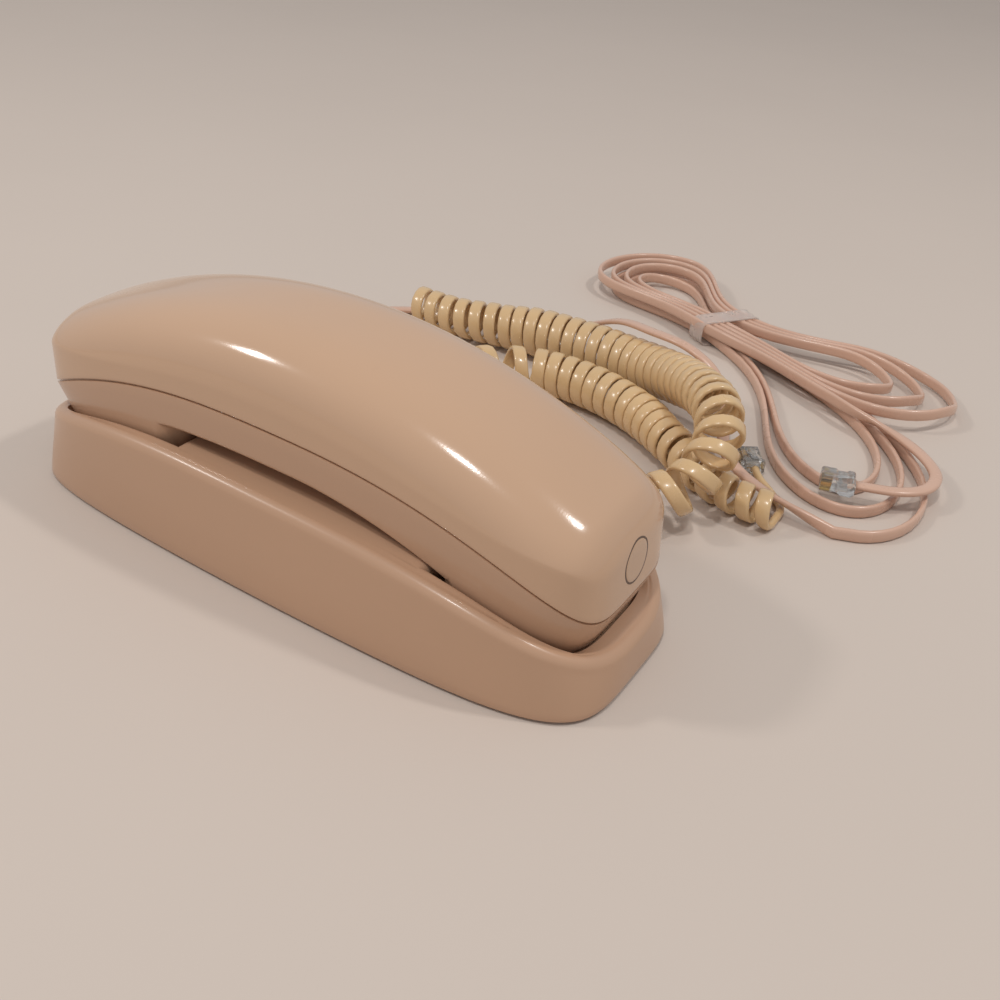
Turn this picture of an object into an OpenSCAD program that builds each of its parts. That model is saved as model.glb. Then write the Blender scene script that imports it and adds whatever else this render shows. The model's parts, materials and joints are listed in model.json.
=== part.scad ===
// Slimline telephone: an arched handset resting in a low boat-shaped base,
// with a curly handset cord and a tied hank of flat line cord beside it.
// Origin: centre of the base on the surface it stands on. +X points to the
// earpiece end, +Z up. Millimetres.

/* [Base] */
// Length of the base
base_len = 218; // [200:1:240]
// Width of the base at its middle
base_w = 78; // [72:1:90]
// Share of the width that the bowed sides lose towards the ends
base_bow = 0.10; // [0:0.01:0.2]
// Height of the rim at mid length
rim_mid = 37.3; // [34:0.1:44]
// How far the rim falls at both ends
rim_drop = 16.8; // [8:0.1:17.2]
// Extra fall of the rim towards the earpiece end
rim_tilt = 3.6; // [0:0.1:3.8]
// Wall thickness of the mouldings
wall = 2.5; // [1.8:0.1:3]
// Height of the floor of the two end cups
cup_z = 13.7; // [13.5:0.1:16]
// Step from the rim down to the saddle between the cups
saddle_step = 1.2; // [0.6:0.1:2]
// Gap all round between the handset and its cups
cup_gap = 0.7; // [0.5:0.1:1.5]
// Thickness of the bottom plate
plate_t = 2.4; // [2:0.1:3]
// Gap between the housing and what it stands on
foot_gap = 1; // [0.6:0.1:2]
// Radius of a rubber foot
foot_r = 6.5; // [5:0.5:8]
// Distance between the two wall keyholes
keyhole_pitch = 84; // [80:1:88]
// Radius of a keyhole's round entry
keyhole_entry_r = 4.6; // [4:0.1:5]
// Radius of a keyhole's narrow slot
keyhole_slot_r = 2.2; // [1.8:0.1:2.8]
// Length of a keyhole's narrow slot
keyhole_slot_l = 8; // [6:0.5:10]

/* [Handset] */
// Length of the handset
hs_len = 211; // [204:1:213]
// Width of the handset
hs_w = 62; // [58:1:64]
// Height of the parting line at mid length
part_mid = 55; // [54:0.1:60]
// How far the parting line falls at both ends
part_drop = 25.8; // [20:0.1:27]
// Extra fall of the parting line towards the earpiece end
part_tilt = 2.5; // [0:0.1:3]
// Depth of the front housing under the parting line
front_t = 12.2; // [11:0.1:13]
// Highest point of the back cover
top_mid = 81; // [78:0.1:86]
// Radius of the back cover's arch along the handset
top_r = 216; // [205:1:240]
// Depth of the rounded part of the back cover
crown_h = 26; // [22:0.5:28]
// Radius of the badge disc
badge_r = 6.5; // [4:0.1:7.5]

/* [Keys] */
// Distance between key rows
row_pitch = 13; // [12:0.5:13]
// Distance between key columns
col_pitch = 15; // [14:0.5:17]
// Length of a key cap along the handset
key_l = 9; // [7:0.5:10]
// Width of a key cap
key_w = 11; // [9:0.5:12]
// How far a key stands out of the housing
key_out = 1.8; // [1:0.1:2.2]
// How far a key travels
key_travel = 1.5; // [1:0.1:1.6]
// Gap round a key in its hole
key_gap = 0.35; // [0.3:0.05:0.5]

/* [Ringer and hook] */
// Radius of the gong
gong_r = 20; // [17:0.5:20]
// Radius of the clapper ball
ball_r = 2.5; // [2:0.1:3]
// Radius of the hook plunger
plunger_r = 3; // [2.5:0.1:3.5]
// Travel of the ringer volume slider either way
volume_travel = 4; // [3:0.5:5]

/* [Cords] */
// Width of the curly cord's strand, along the coil
strand_w = 4.6; // [3.6:0.1:4.7]
// Thickness of the curly cord's strand
strand_t = 2; // [1.8:0.1:2.2]
// Diameter of the curly cord's straight leads
lead_d = 3; // [2.6:0.1:3.2]
// Thickness of the flat line cord
flat_t = 2.4; // [2:0.1:2.5]
// Height of the flat line cord on its edge
flat_h = 4.8; // [4:0.1:4.9]
// Diameter of the line cord's rounded leads
line_d = 3.2; // [2.8:0.1:3.4]

/* [Hidden] */
$fn = 48;

beige = [0.86, 0.70, 0.57];
cream = [0.84, 0.77, 0.58];
pink_beige = [0.80, 0.64, 0.55];
clear = [0.85, 0.87, 0.88, 0.6];
metal = [0.75, 0.75, 0.77];
dark = [0.15, 0.15, 0.16];
green = [0.15, 0.42, 0.25];

// ---- outlines and profiles ----

base_a = base_len / 2;
ref_half = base_a - 1;     // distance from the middle at which the falls of the profiles are given
tall = 130;                // more than the height of anything that is cut or extruded upwards
base_b = base_w / 2;
hs_a = hs_len / 2;
hs_b = hs_w / 2;
eps = 0.01;

// One quarter of a superellipse |u|^m + |v|^n = 1, from (0,1) to (1,0)
function quarter(m, n, steps) =
    let (uc = pow(0.5, 1 / m), vc = pow(0.5, 1 / n))
    concat([for (i = [0 : steps - 1]) let (u = uc * i / steps) [u, pow(1 - pow(u, m), 1 / n)]],
           [for (i = [0 : steps - 1]) let (v = vc * (1 - i / steps)) [pow(1 - pow(v, n), 1 / m), v]]);

function bowed(a, b, m, n, bow, steps) =
    let (q = [for (p = quarter(m, n, steps)) [a * p[0], b * p[1] * (1 - bow * p[0] * p[0])]],
         last = len(q) - 1)
    concat(q, [[a, 0]],
           [for (i = [last : -1 : 0]) [q[i][0], -q[i][1]]],
           [for (i = [1 : last]) [-q[i][0], -q[i][1]]], [[-a, 0]],
           [for (i = [last : -1 : 1]) [-q[i][0], q[i][1]]]);

module base_plan(inset = 0) polygon(bowed(base_a - inset, base_b - inset, 6.2, 4.2, base_bow, 7));
module hs_plan(inset = 0) polygon(bowed(hs_a - inset, hs_b - inset, 6.7, 5.4, 0.02, 6));

function fall(x, drop, power, tilt) = drop * pow(abs(x) / ref_half, power) + tilt * x / ref_half;
function rim_z(x) = rim_mid - fall(x, rim_drop, 3.2, rim_tilt);
function saddle_z(x) = rim_z(x) - saddle_step;
function part_z(x) = part_mid - fall(x, part_drop, 2.55, part_tilt);
function under_z(x) = part_z(x) - front_t;

top_x = -5;                // the arch of the back cover peaks a little off centre
block_z = cup_z + 0.3;     // underside of the ear and mouth blocks, just off the cup floors
near_in = hs_a - 43.5;     // inner face of the ear block at its foot
near_top = near_in - 4;
far_in = -hs_a + 61.5;     // inner face of the mouth block at its foot
far_top = far_in + 6;
end_slope = 10;            // the end walls lean in by this much under the parting line
near_cup = near_top - 3;   // walls of the cups at the saddle
far_cup = far_top + 1.5;

// Extrudes an outline given in X and Z across the whole width
module across(w = 2 * tall) rotate([90, 0, 0]) linear_extrude(w, center = true) children();

module box(x0, x1, y0, y1, z0, z1) translate([x0, y0, z0]) cube([x1 - x0, y1 - y0, z1 - z0]);
module rod(x, y, z0, z1, r) translate([x, y, z0]) cylinder(h = z1 - z0, r = r);

// ---- handset ----

crown_pow = 3;
crown_b = hs_b + 0.3;

// Section of the arch: r along the first axis, across the handset along the second
module crown_section(inset) {
    b = crown_b - inset;
    polygon(concat([[top_r - 70, -b]],
        [for (i = [-9 : 9]) let (y = sin(i * 10) * b)
            [top_r - inset - crown_h + crown_h * pow(1 - pow(abs(y) / b, crown_pow), 1 / crown_pow), y]],
        [[top_r - 70, b]]));
}

module crown(inset) {
    translate([top_x, 0, top_mid - top_r]) rotate([90, 0, 0]) rotate([0, 0, 50])
        rotate_extrude(angle = 80, $fn = 180) crown_section(inset);
}

part_steps = 11;
function part_line(half) = [for (i = [-part_steps : part_steps])
    let (x = half * i / part_steps) [x, part_z(x)]];

module above_parting() across() polygon(concat([[-hs_a - 20, part_z(-hs_a)]], part_line(hs_a),
    [[hs_a + 20, part_z(hs_a)], [hs_a + 20, tall], [-hs_a - 20, tall]]));

boss_r = 3.4;
screw_r = 1.4;
badge_z = part_z(hs_a) + 11.2;
badge_in = 0.8;

module handset_back_cover() color(beige) {
    difference() {
        intersection() {
            crown(0);
            linear_extrude(tall) hs_plan();
            above_parting();
        }
        difference() {
            intersection() {
                crown(wall);
                linear_extrude(tall) hs_plan(wall);
            }
            for (x = [far_screw_x, near_screw_x]) rod(x, 0, boss_z, tall, boss_r);
        }
        for (x = [far_screw_x, near_screw_x]) rod(x, 0, 0, boss_z + 12, screw_r + 0.05);
        translate([hs_a - badge_in, 0, badge_z]) rotate([0, 90, 0]) cylinder(h = 5, r = badge_r + 0.1);
    }
}

module badge_disc() color(beige) {
    translate([hs_a - badge_in, 0, badge_z]) rotate([0, 90, 0]) difference() {
        cylinder(h = badge_in, r = badge_r);
        translate([0, 0, badge_in - 0.3]) difference() {
            cylinder(h = 1, r = badge_r - 0.3);
            translate([0, 0, -1]) cylinder(h = 3, r = badge_r - 0.8);
        }
    }
}

// Side profile of the front housing, or of its cavity when t is the wall's thickness
module front_outline(t) {
    foot = block_z + t;
    over = t > 0 ? 1 : 0;
    near_lean = end_slope / (part_z(hs_a) - block_z);
    far_lean = end_slope / (part_z(-hs_a) - block_z);
    x_near = hs_a - end_slope + near_lean * t - t * sqrt(1 + near_lean * near_lean);
    x_far = -hs_a + end_slope - far_lean * t + t * sqrt(1 + far_lean * far_lean);
    polygon(concat([for (p = part_line(hs_a - t)) [p[0], p[1] + over]],
        [[x_near, foot], [near_in + t, foot], [near_top + t, under_z(near_top) + t]],
        [for (x = [near_top - 6 : -6 : far_top + 3]) [x, under_z(x) + t]],
        [[far_top - t, under_z(far_top) + t], [far_in - t, foot], [x_far, foot]]));
}

key_x0 = -19;              // first row, next to the number card
recall_x = 33;
recall_l = 6;
recall_w = 14;
key_names = [["key_star", "key_0", "key_hash"], ["key_7", "key_8", "key_9"],
             ["key_4", "key_5", "key_6"], ["key_1", "key_2", "key_3"]];
function key_x(row) = key_x0 + row * row_pitch;
function key_y(col) = (col - 1) * col_pitch;

card_l = 7.5;
card_w = 36;
card_x = -32.5;
ear_x = hs_a - 27.5;
mouth_x = -hs_a + 39.5;
jack_x = -hs_a + 12.5;     // front face of the handset's jack
jack_z0 = block_z + 3;
board_z = part_mid - 4.2;  // underside of the keypad board
board_t = 1.6;
post_x = [key_x0 - 7, recall_x + 6];
post_y = hs_b - 5.5;
board_half = post_y + 1.5;
mat_half = col_pitch + 8;
chip_l = 10;
chip_h = 3;
capsule_r = 13;
far_screw_x = card_x;      // the far screw is under the number card
near_screw_x = recall_x + 13;
boss_z = board_z - 0.8;    // where the bosses of the two housings meet

module through(x, y, l, w) box(x - l / 2, x + l / 2, y - w / 2, y + w / 2, 0, tall);

module handset_front_housing() color(beige) {
    difference() {
        intersection() {
            across() front_outline(0);
            linear_extrude(tall) hs_plan();
        }
        difference() {
            intersection() {
                across() front_outline(wall);
                linear_extrude(tall) hs_plan(wall);
            }
            for (x = [far_screw_x, near_screw_x]) rod(x, 0, 30, boss_z, boss_r);
            for (x = post_x, s = [-1, 1]) rod(x, s * post_y, 30, board_z, 2.4);
        }
        for (r = [0 : 3], c = [0 : 2])
            through(key_x(r), key_y(c), key_l + 2 * key_gap, key_w + 2 * key_gap);
        through(recall_x, 0, recall_l + 2 * key_gap, recall_w + 2 * key_gap);
        through_card();
        for (x = [far_screw_x, near_screw_x]) {
            rod(x, 0, 0, boss_z + 1, screw_r + 0.2);
            rod(x, 0, 0, under_z(x) + 3, 2.9);
        }
        for (x = post_x, s = [-1, 1]) rod(x, s * post_y, board_z - 5, board_z + 1, 0.85);
        for (a = [0 : 60 : 300]) rod(ear_x + 5 * cos(a), 5 * sin(a), 0, block_z + wall + 1, 1.2);
        rod(ear_x, 0, 0, block_z + wall + 1, 1.2);
        for (y = [-6 : 3 : 6]) rod(mouth_x, y, 0, block_z + wall + 1, 1);
        jack_window();
        translate([hs_a - badge_in, 0, badge_z]) rotate([0, 90, 0]) cylinder(h = 5, r = badge_r + 0.1);
    }
}

// The handset's jack shows through its end wall
module jack_window() {
    half = cord_plug_w / 2 + plug_gap + 0.3;
    mid = jack_z0 + handset_jack_h / 2;
    box(-hs_a - 5, jack_x, -half, half, mid - socket_h / 2 - 0.1, mid + socket_h / 2 + 0.1);
}

card_top = under_z(card_x) + 1.6;

module through_card() {
    box(card_x - card_l / 2 - 0.2, card_x + card_l / 2 + 0.2, -card_w / 2 - 0.2, card_w / 2 + 0.2,
        block_z, card_top);
}

module number_card() color("white")
    difference() {
        box(card_x - card_l / 2, card_x + card_l / 2, -card_w / 2, card_w / 2, card_top - 0.5, card_top);
        rod(card_x, 0, 0, tall, 3.2);
    }

module card_window() color(clear)
    difference() {
        box(card_x - card_l / 2, card_x + card_l / 2, -card_w / 2, card_w / 2,
            card_top - 1.6, card_top - 0.5);
        rod(card_x, 0, 0, tall, 3.2);
    }

flange = 1;                // retaining flange round the root of a key
mat_z = board_z - 1.2;

// A key cap that stands out downwards, with a flange above the housing's floor
module key(x, y, l, w) color(beige) {
    low = under_z(x);
    root = max(under_z(x - l / 2 - flange), under_z(x + l / 2 + flange)) + wall + 0.2;
    rod(x, y, root, mat_z - key_travel - 0.1, 2);
    difference() {
        union() {
            box(x - l / 2, x + l / 2, y - w / 2, y + w / 2, low - key_out, root + 1);
            box(x - l / 2 - flange, x + l / 2 + flange, y - w / 2 - flange, y + w / 2 + flange,
                root, root + 1);
        }
        translate([x, y, low - key_out - 28.7]) sphere(r = 29, $fn = 90);
    }
}

module dome_mat() color(dark)
    difference() {
        box(key_x0 - 7, recall_x + 4.5, -mat_half, mat_half, mat_z, board_z);
        for (r = [0 : 3], c = [0 : 2]) rod(key_x(r), key_y(c), mat_z - 1, mat_z + 0.6, 3);
    }

module keypad_board() color(green)
    difference() {
        union() {
            box(key_x0 - 10, recall_x + 9, -board_half, board_half, board_z, board_z + board_t);
            box(0, chip_l, -chip_l + 2, chip_l - 2, board_z + board_t, board_z + board_t + chip_h);
            for (y = [-18, 18])
                rod(2 * chip_l, y, board_z + board_t, board_z + board_t + 2 * chip_h, 3.5);
        }
        for (x = post_x, s = [-1, 1]) rod(x, s * post_y, 0, tall, 1.1);
        for (x = [far_screw_x, near_screw_x]) rod(x, 0, 0, tall, boss_r + 1.6);
    }

module screw(x, y, z, r, l, head_r, head_h, up) {
    translate([x, y, z]) mirror([0, 0, up ? 0 : 1]) difference() {
        union() {
            cylinder(h = l, r = r);
            translate([0, 0, -head_h]) cylinder(h = head_h, r = head_r);
        }
        translate([-head_r, -0.3, -head_h - eps]) cube([2 * head_r, 0.6, 0.6]);
    }
}

module board_screws() color(metal)
    for (x = post_x, s = [-1, 1]) screw(x, s * post_y, board_z + board_t, 0.8, 5, 1.8, 1.2, false);

module handset_screws() color(metal)
    for (x = [far_screw_x, near_screw_x])
        screw(x, 0, under_z(x) + 3, screw_r, boss_z + 8 - under_z(x), 2.6, 1.8, true);

module receiver_capsule() color(dark) {
    z = block_z + wall;
    difference() {
        union() {
            rod(ear_x, 0, z + 1, z + 9, capsule_r - 1.5);
            rod(ear_x, 0, z + 9, z + 12, 6);
        }
        rod(ear_x, 0, z, z + 2, capsule_r - 4);
    }
}

module receiver_ring() color([0.25, 0.25, 0.26]) {
    z = block_z + wall;
    difference() {
        rod(ear_x, 0, z, z + 5, capsule_r);
        rod(ear_x, 0, z + 1, z + 6, capsule_r - 1.5);
        rod(ear_x, 0, z - 1, z + 2, capsule_r - 4);
    }
}

module microphone() color(metal) rod(mouth_x, 0, block_z + wall + 1.5, block_z + wall + 7, 4.8);

module microphone_boot() color(dark) {
    z = block_z + wall;
    difference() {
        rod(mouth_x, 0, z, z + 6, 7.5);
        rod(mouth_x, 0, z + 1.5, z + 7, 4.8);
        rod(mouth_x, 0, z - 1, z + 2, 3.5);
    }
}

// Modular plugs and jacks
cord_plug_w = 7.6;
line_plug_w = 9.6;
plug_h = 6;
plug_l = 12.5;
plug_gap = 0.2;
socket_h = plug_h + 1.6;   // room for the plug's latch

// A jack: a block with a square socket that opens towards -X
module jack(x, y, z0, h, plug_w) {
    half = plug_w / 2 + plug_gap;
    difference() {
        box(x, x + jack_l, y - half - 2, y + half + 2, z0, z0 + h);
        box(x - 1, x + jack_l - 3, y - half, y + half, z0 + (h - socket_h) / 2, z0 + (h + socket_h) / 2);
    }
}

jack_l = 14.5;
handset_jack_h = 11;

module handset_jack() color(dark) jack(jack_x, 0, jack_z0, handset_jack_h, cord_plug_w);

// ---- base ----

cavity_z = cup_z - wall;
cup_end = hs_a - end_slope + 1.5;   // where the cup floors start to rise to the rim
jack_in = wall + 2.2;      // the base's jacks start just inside its rounded end wall
jack_low = foot_gap + 0.2;
jack_h = cavity_z - 0.2 - jack_low;
line_y = -12;
cord_y = 12;
jack_zc = jack_low + jack_h / 2;
plate_z = foot_gap + plate_t;
far_boss = [-base_a + 27, base_b - 13];
near_boss = [base_a - 25, base_b - 15];
far_foot = [-base_a + 43, base_b - 14];
near_foot = [base_a - 12, base_b - 22];
function pairs(a, b) = [for (p = [a, b], s = [-1, 1]) [p[0], s * p[1]]];
boss_at = pairs(far_boss, near_boss);
foot_at = pairs(far_foot, near_foot);
hook_x = base_a - 20;
hook_travel = 3;
slider_x = 18;
slider_z = 14;

module pocket() {
    intersection() {
        across() polygon(concat(
            [[-base_a - 5, tall], [-base_a + 3, rim_z(-base_a + 3) + 1.5], [-cup_end, cup_z],
             [far_cup - 2, cup_z]],
            [for (i = [0 : 10]) let (x = far_cup + (near_cup - far_cup) * i / 10) [x, saddle_z(x)]],
            [[near_cup + 2, cup_z], [cup_end, cup_z],
             [base_a - 3, rim_z(base_a - 3) + 1.5], [base_a + 5, tall]]));
        linear_extrude(tall) polygon(bowed(hs_a + 1.5, hs_b + cup_gap, 6.7, 5.4, 0.02, 6));
    }
}

module base_cavity() {
    x0 = far_cup + wall;
    x1 = near_cup - wall;
    intersection() {
        across() polygon(concat([[-base_a - 20, -5], [-base_a - 20, cavity_z], [x0, cavity_z]],
            [for (i = [0 : 8]) let (x = x0 + (x1 - x0) * i / 8) [x, saddle_z(x) - wall]],
            [[x1, cavity_z], [base_a + 20, cavity_z], [base_a + 20, -5]]));
        linear_extrude(tall) base_plan(wall);
    }
}

rim_steps = 11;
function rim_point(i) = let (x = (base_a + 1) * i / rim_steps) [x, rim_z(x)];

module base_housing() color(beige) {
    difference() {
        intersection() {
            translate([0, 0, foot_gap]) linear_extrude(tall) base_plan();
            across() polygon(concat([for (i = [-rim_steps : rim_steps]) rim_point(i)],
                [[base_a + 1, -5], [-base_a - 1, -5]]));
        }
        pocket();
        difference() {
            base_cavity();
            for (p = boss_at) rod(p[0], p[1], plate_z, cavity_z + 1, 3.6);
        }
        for (p = boss_at) rod(p[0], p[1], 0, cavity_z - 1, 1.35);
        rod(hook_x, 0, 0, cup_z + 5, plunger_r + 0.1);
        jack_hole(line_y, line_plug_w);
        jack_hole(cord_y, cord_plug_w);
        box(slider_x - volume_travel - 3, slider_x + volume_travel + 3, slider_y - 10, base_b + 5,
            slider_z - 1.5, slider_z + 1.5);
    }
}

module jack_hole(y, plug_w) {
    half = plug_w / 2 + plug_gap + 0.3;
    tall_half = socket_h / 2 + 0.1;
    box(-base_a - 5, -base_a + jack_in, y - half, y + half, jack_zc - tall_half, jack_zc + tall_half);
}

module keyhole(x) {
    rod(x, 0, 0, 10, keyhole_entry_r);
    rod(x + keyhole_slot_l, 0, 0, 10, keyhole_slot_r);
    box(x, x + keyhole_slot_l, -keyhole_slot_r, keyhole_slot_r, 0, 10);
}

module base_plate() color([0.45, 0.42, 0.40]) {
    difference() {
        translate([0, 0, foot_gap]) linear_extrude(plate_t) base_plan(wall + 0.2);
        for (s = [-1, 1]) keyhole(s * keyhole_pitch / 2);
        for (p = boss_at) {
            rod(p[0], p[1], 0, 10, 1.7);
            rod(p[0], p[1], 0, foot_gap + 1.4, 3.1);
        }
        for (p = foot_at) rod(p[0], p[1], 0, foot_gap + 0.5, foot_r + 0.1);
        box(-base_a - 20, -base_a + jack_in + jack_l + 0.5, line_y - 8, cord_y + 7.5, 0, 10);
        for (x = [-20 : 5 : 10]) box(x, x + 2, base_b - 15, base_b - 7, 0, 10);
    }
    rod(ringer_gx, 0, plate_z - eps, gong_z - gong_t, 3);
    rod(ringer_gx, 0, plate_z, gong_z, 1.5);
}

module plate_screws() color(metal)
    for (p = boss_at) screw(p[0], p[1], foot_gap + 1.4, 1.3, 7.5, 2.9, 1.3, true);

module rubber_feet() color(dark)
    for (p = foot_at) rod(p[0], p[1], 0, foot_gap + 0.5, foot_r);

net_x = -base_a + jack_in + jack_l + 1.8;
net_l = 34;
net_half = base_b - 17;
net_top = plate_z + 1 + board_t;
part_h = 4.2;              // height of the parts on the network board

module network_board() color(green) {
    difference() {
        union() {
            box(net_x, net_x + net_l, -net_half, net_half, plate_z + 1, net_top);
            box(net_x + 4, net_x + 16, -14, 14, net_top, net_top + part_h);
            for (y = [-15, 0, 15]) rod(net_x + 25, y, net_top, net_top + part_h, 3.4);
            for (x = [net_x + 2, net_x + net_l - 2], y = [3 - net_half, net_half - 3])
                rod(x, y, plate_z, plate_z + 1, 2);
        }
        for (p = boss_at) rod(p[0], p[1], 0, tall, 4.2);
    }
}

module line_jack() color(dark) jack(-base_a + jack_in, line_y, jack_low, jack_h, line_plug_w);
module cord_jack() color(dark) jack(-base_a + jack_in, cord_y, jack_low, jack_h, cord_plug_w);

stop_z = cavity_z - hook_travel - 0.1;   // top of the plunger's collar when the handset rests
collar_t = 1.5;

module hook_plunger() color(beige) {
    rod(hook_x, 0, stop_z - collar_t, cup_z, plunger_r);
    rod(hook_x, 0, stop_z - collar_t, stop_z, plunger_r + 1.4);
}

module hook_spring() color(metal)
    difference() {
        rod(hook_x, 0, plate_z, stop_z - collar_t, plunger_r);
        rod(hook_x, 0, 0, cavity_z, plunger_r - 0.6);
    }

module hook_switch() color(dark) {
    box(hook_x - 16, hook_x - 7, -6, 6, plate_z, plate_z + 5);
    box(hook_x - 7, hook_x - 5.5, -1.5, 1.5, plate_z + 1, plate_z + 4);
}

ringer_gx = 28;            // axis of the gong
gong_z = 27;               // top of the gong
gong_t = 1.6;
gong_round = 9;
gong_h = 13;
clap_x = ringer_gx - gong_r - ball_r - 1;
clap_z = 17;
pin_y = -20;
armature_y = -8;
coil_x = clap_x - 33;      // back of the ringer's coil
flange_r = 8;
winding_l = 23;
core_l = 28;
frame_t = 1.5;
frame_half = flange_r + 1;
pin_post = 4;              // half-width of the post that holds the clapper's pin

module gong() color([0.80, 0.66, 0.35])
    translate([ringer_gx, 0, 0]) difference() {
        rotate_extrude($fn = 96) polygon(concat(
            [[0, gong_z - gong_t], [0, gong_z]],
            gong_arc([for (a = [0 : 15 : 90]) a], gong_round),
            [[gong_r, gong_z - gong_h], [gong_r - gong_t, gong_z - gong_h]],
            gong_arc([for (a = [90 : -15 : 0]) a], gong_round - gong_t)));
        cylinder(h = tall, r = 1.6);
    }

function gong_arc(angles, r) =
    [for (a = angles) [gong_r - gong_round + r * sin(a), gong_z - gong_round + r * cos(a)]];

module gong_screw() color(metal) rod(ringer_gx, 0, gong_z, gong_z + 1.6, 3.2);

module ringer_frame() color(metal) {
    x0 = coil_x - frame_t;
    low = plate_z + frame_t;
    box(x0, coil_x, armature_y - frame_half, armature_y + frame_half, plate_z, clap_z + flange_r);
    box(x0, coil_x + 18.5, armature_y - frame_half, armature_y + frame_half, plate_z, low);
    box(x0, clap_x + 6, pin_y - pin_post, pin_y + pin_post, plate_z, low);
    box(clap_x - pin_post, clap_x + pin_post, pin_y - pin_post, pin_y + pin_post,
        plate_z, clap_z - pin_post);
}

module ringer_coil() color([0.60, 0.30, 0.15])
    translate([coil_x, armature_y, clap_z]) rotate([0, 90, 0]) {
        cylinder(h = frame_t, r = flange_r);
        cylinder(h = winding_l, r = flange_r - 1.5);
        translate([0, 0, winding_l - frame_t]) cylinder(h = frame_t, r = flange_r);
        cylinder(h = core_l, r = 2.5);
    }

module clapper() color([0.80, 0.66, 0.35]) {
    difference() {
        union() {
            rod(clap_x, pin_y, clap_z - 3, clap_z + 3, 3);
            box(clap_x - 0.6, clap_x + 0.6, pin_y + 2, 0, clap_z - 1, clap_z + 1);
            translate([clap_x, 0, clap_z]) sphere(r = ball_r);
            box(clap_x - 1.2, clap_x + 0.6, armature_y - 3, armature_y + 2, clap_z - 3, clap_z + 3);
        }
        rod(clap_x, pin_y, 0, tall, 1.05);
    }
}

module clapper_pin() color(metal) rod(clap_x, pin_y, clap_z - 4, clap_z + 4, 1);

slider_y = base_b - wall;

module volume_slider() color(beige) {
    box(slider_x - 2.4, slider_x + 2.4, slider_y - 2, base_b - 0.4, slider_z - 1.2, slider_z + 1.2);
    box(slider_x - 4, slider_x + 4, slider_y - 4, slider_y - 1.2, slider_z - 3.5, slider_z + 3.5);
}

// ---- cords ----

function unit(v) = v / norm(v);
function smooth(t) = let (c = max(0, min(1, t))) c * c * (3 - 2 * c);

// Sweeps a section of n sides, w along the side vector and h along the normal, along a path.
// Each ring is given as [centre, side, normal].
function ring_points(rings, w, h, n) =
    [for (r = rings, k = [0 : n - 1]) let (a = 360 * (k + 0.5) / n)
        r[0] + r[1] * cos(a) * w / 2 + r[2] * sin(a) * h / 2];

function tube_faces(count, n) = concat(
    [for (k = [1 : n - 2]) [0, k, k + 1]],
    [for (i = [0 : count - 2], k = [0 : n - 1], half = [0, 1])
        let (a = i * n + k, b = i * n + (k + 1) % n)
        half == 0 ? [a, a + n, b] : [b, a + n, b + n]],
    [for (k = [1 : n - 2]) let (o = (count - 1) * n) [o, o + k + 1, o + k]]);

module tube(rings, w, h, n) polyhedron(ring_points(rings, w, h, n), tube_faces(len(rings), n));

function tangent(p, i) = unit(p[min(i + 1, len(p) - 1)] - p[max(i - 1, 0)]);

// Rings with a level side vector, for cords that lie on the floor
function level_rings(p, t0 = undef, t1 = undef) = [for (i = [0 : len(p) - 1])
    let (t = i == 0 && t0 != undef ? t0 : i == len(p) - 1 && t1 != undef ? t1 : tangent(p, i),
         s = unit(cross(t, [0, 0, 1])))
    [p[i], s, cross(s, t)]];

function catmull(a, b, c, d, t) =
    0.5 * (2 * b + (c - a) * t + (2 * a - 5 * b + 4 * c - d) * t * t + (3 * b - a - 3 * c + d) * t * t * t);
function catmull_slope(a, b, c, d, t) =
    0.5 * ((c - a) + 2 * (2 * a - 5 * b + 4 * c - d) * t + 3 * (3 * b - a - 3 * c + d) * t * t);

// Smooth path through hand-set points, with a few steps between neighbours
function through_points(q, steps) = concat(
    [for (i = [0 : len(q) - 2], k = [0 : steps - 1])
        catmull(q[max(i - 1, 0)], q[i], q[i + 1], q[min(i + 2, len(q) - 1)], k / steps)],
    [q[len(q) - 1]]);

// Curly cord: [point on the coil's axis, radius to the strand's centre, curls to the next point]
coil_route = [
    [[-84, 160, 9.3], 7.6, 3],
    [[-62, 160, 9.3], 7.8, 3],
    [[-40, 163, 10.4], 8.6, 3],
    [[-20, 166, 11.4], 9.8, 4],
    [[6, 166, 12], 10.1, 4],
    [[31, 161.5, 13.5], 10, 4],
    [[51, 151, 18.5], 9.3, 4],
    [[68, 134.5, 25], 8.6, 3],
    [[82, 115, 29.3], 8.4, 2],
    [[90, 96, 26], 8.2, 2],
    [[86, 78, 16], 8, 2],
    [[66, 66, 9.8], 7.7, 4],
    [[38, 64, 9.3], 7.7, 3],
    [[8, 66, 9.3], 7.7, 2],
    [[-16, 77, 9.3], 7.7, 2],
    [[-31, 98, 9.3], 7.7, 2],
    [[-27, 121, 9.6], 7.9, 2],
    [[-6, 135, 10], 8.3, 4],
    [[20, 137, 10], 8.4, 4],
    [[45, 130, 9.7], 8.1, 4],
    [[65, 118, 8.9], 7.2, 3],
    [[83, 106, 7.8], 6.2, 2],
    [[99, 100, 7.4], 5.8, 2],
    [[114, 99, 7.4], 5.8, 0]];
curl_rings = 8;
curl_count = sum_curls(len(coil_route) - 1);
curl_side = 6;

function sum_curls(n) = n < 0 ? 0 : coil_route[n][2] + sum_curls(n - 1);
function curls_before(i) = sum_curls(i - 1);

// Point i of the coil's axis, with one more point in line past each end
function axis_point(i) = let (last = len(coil_route) - 1)
    i < 0 ? 2 * coil_route[0][0] - coil_route[1][0] :
    i > last ? 2 * coil_route[last][0] - coil_route[last - 1][0] : coil_route[i][0];

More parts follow.
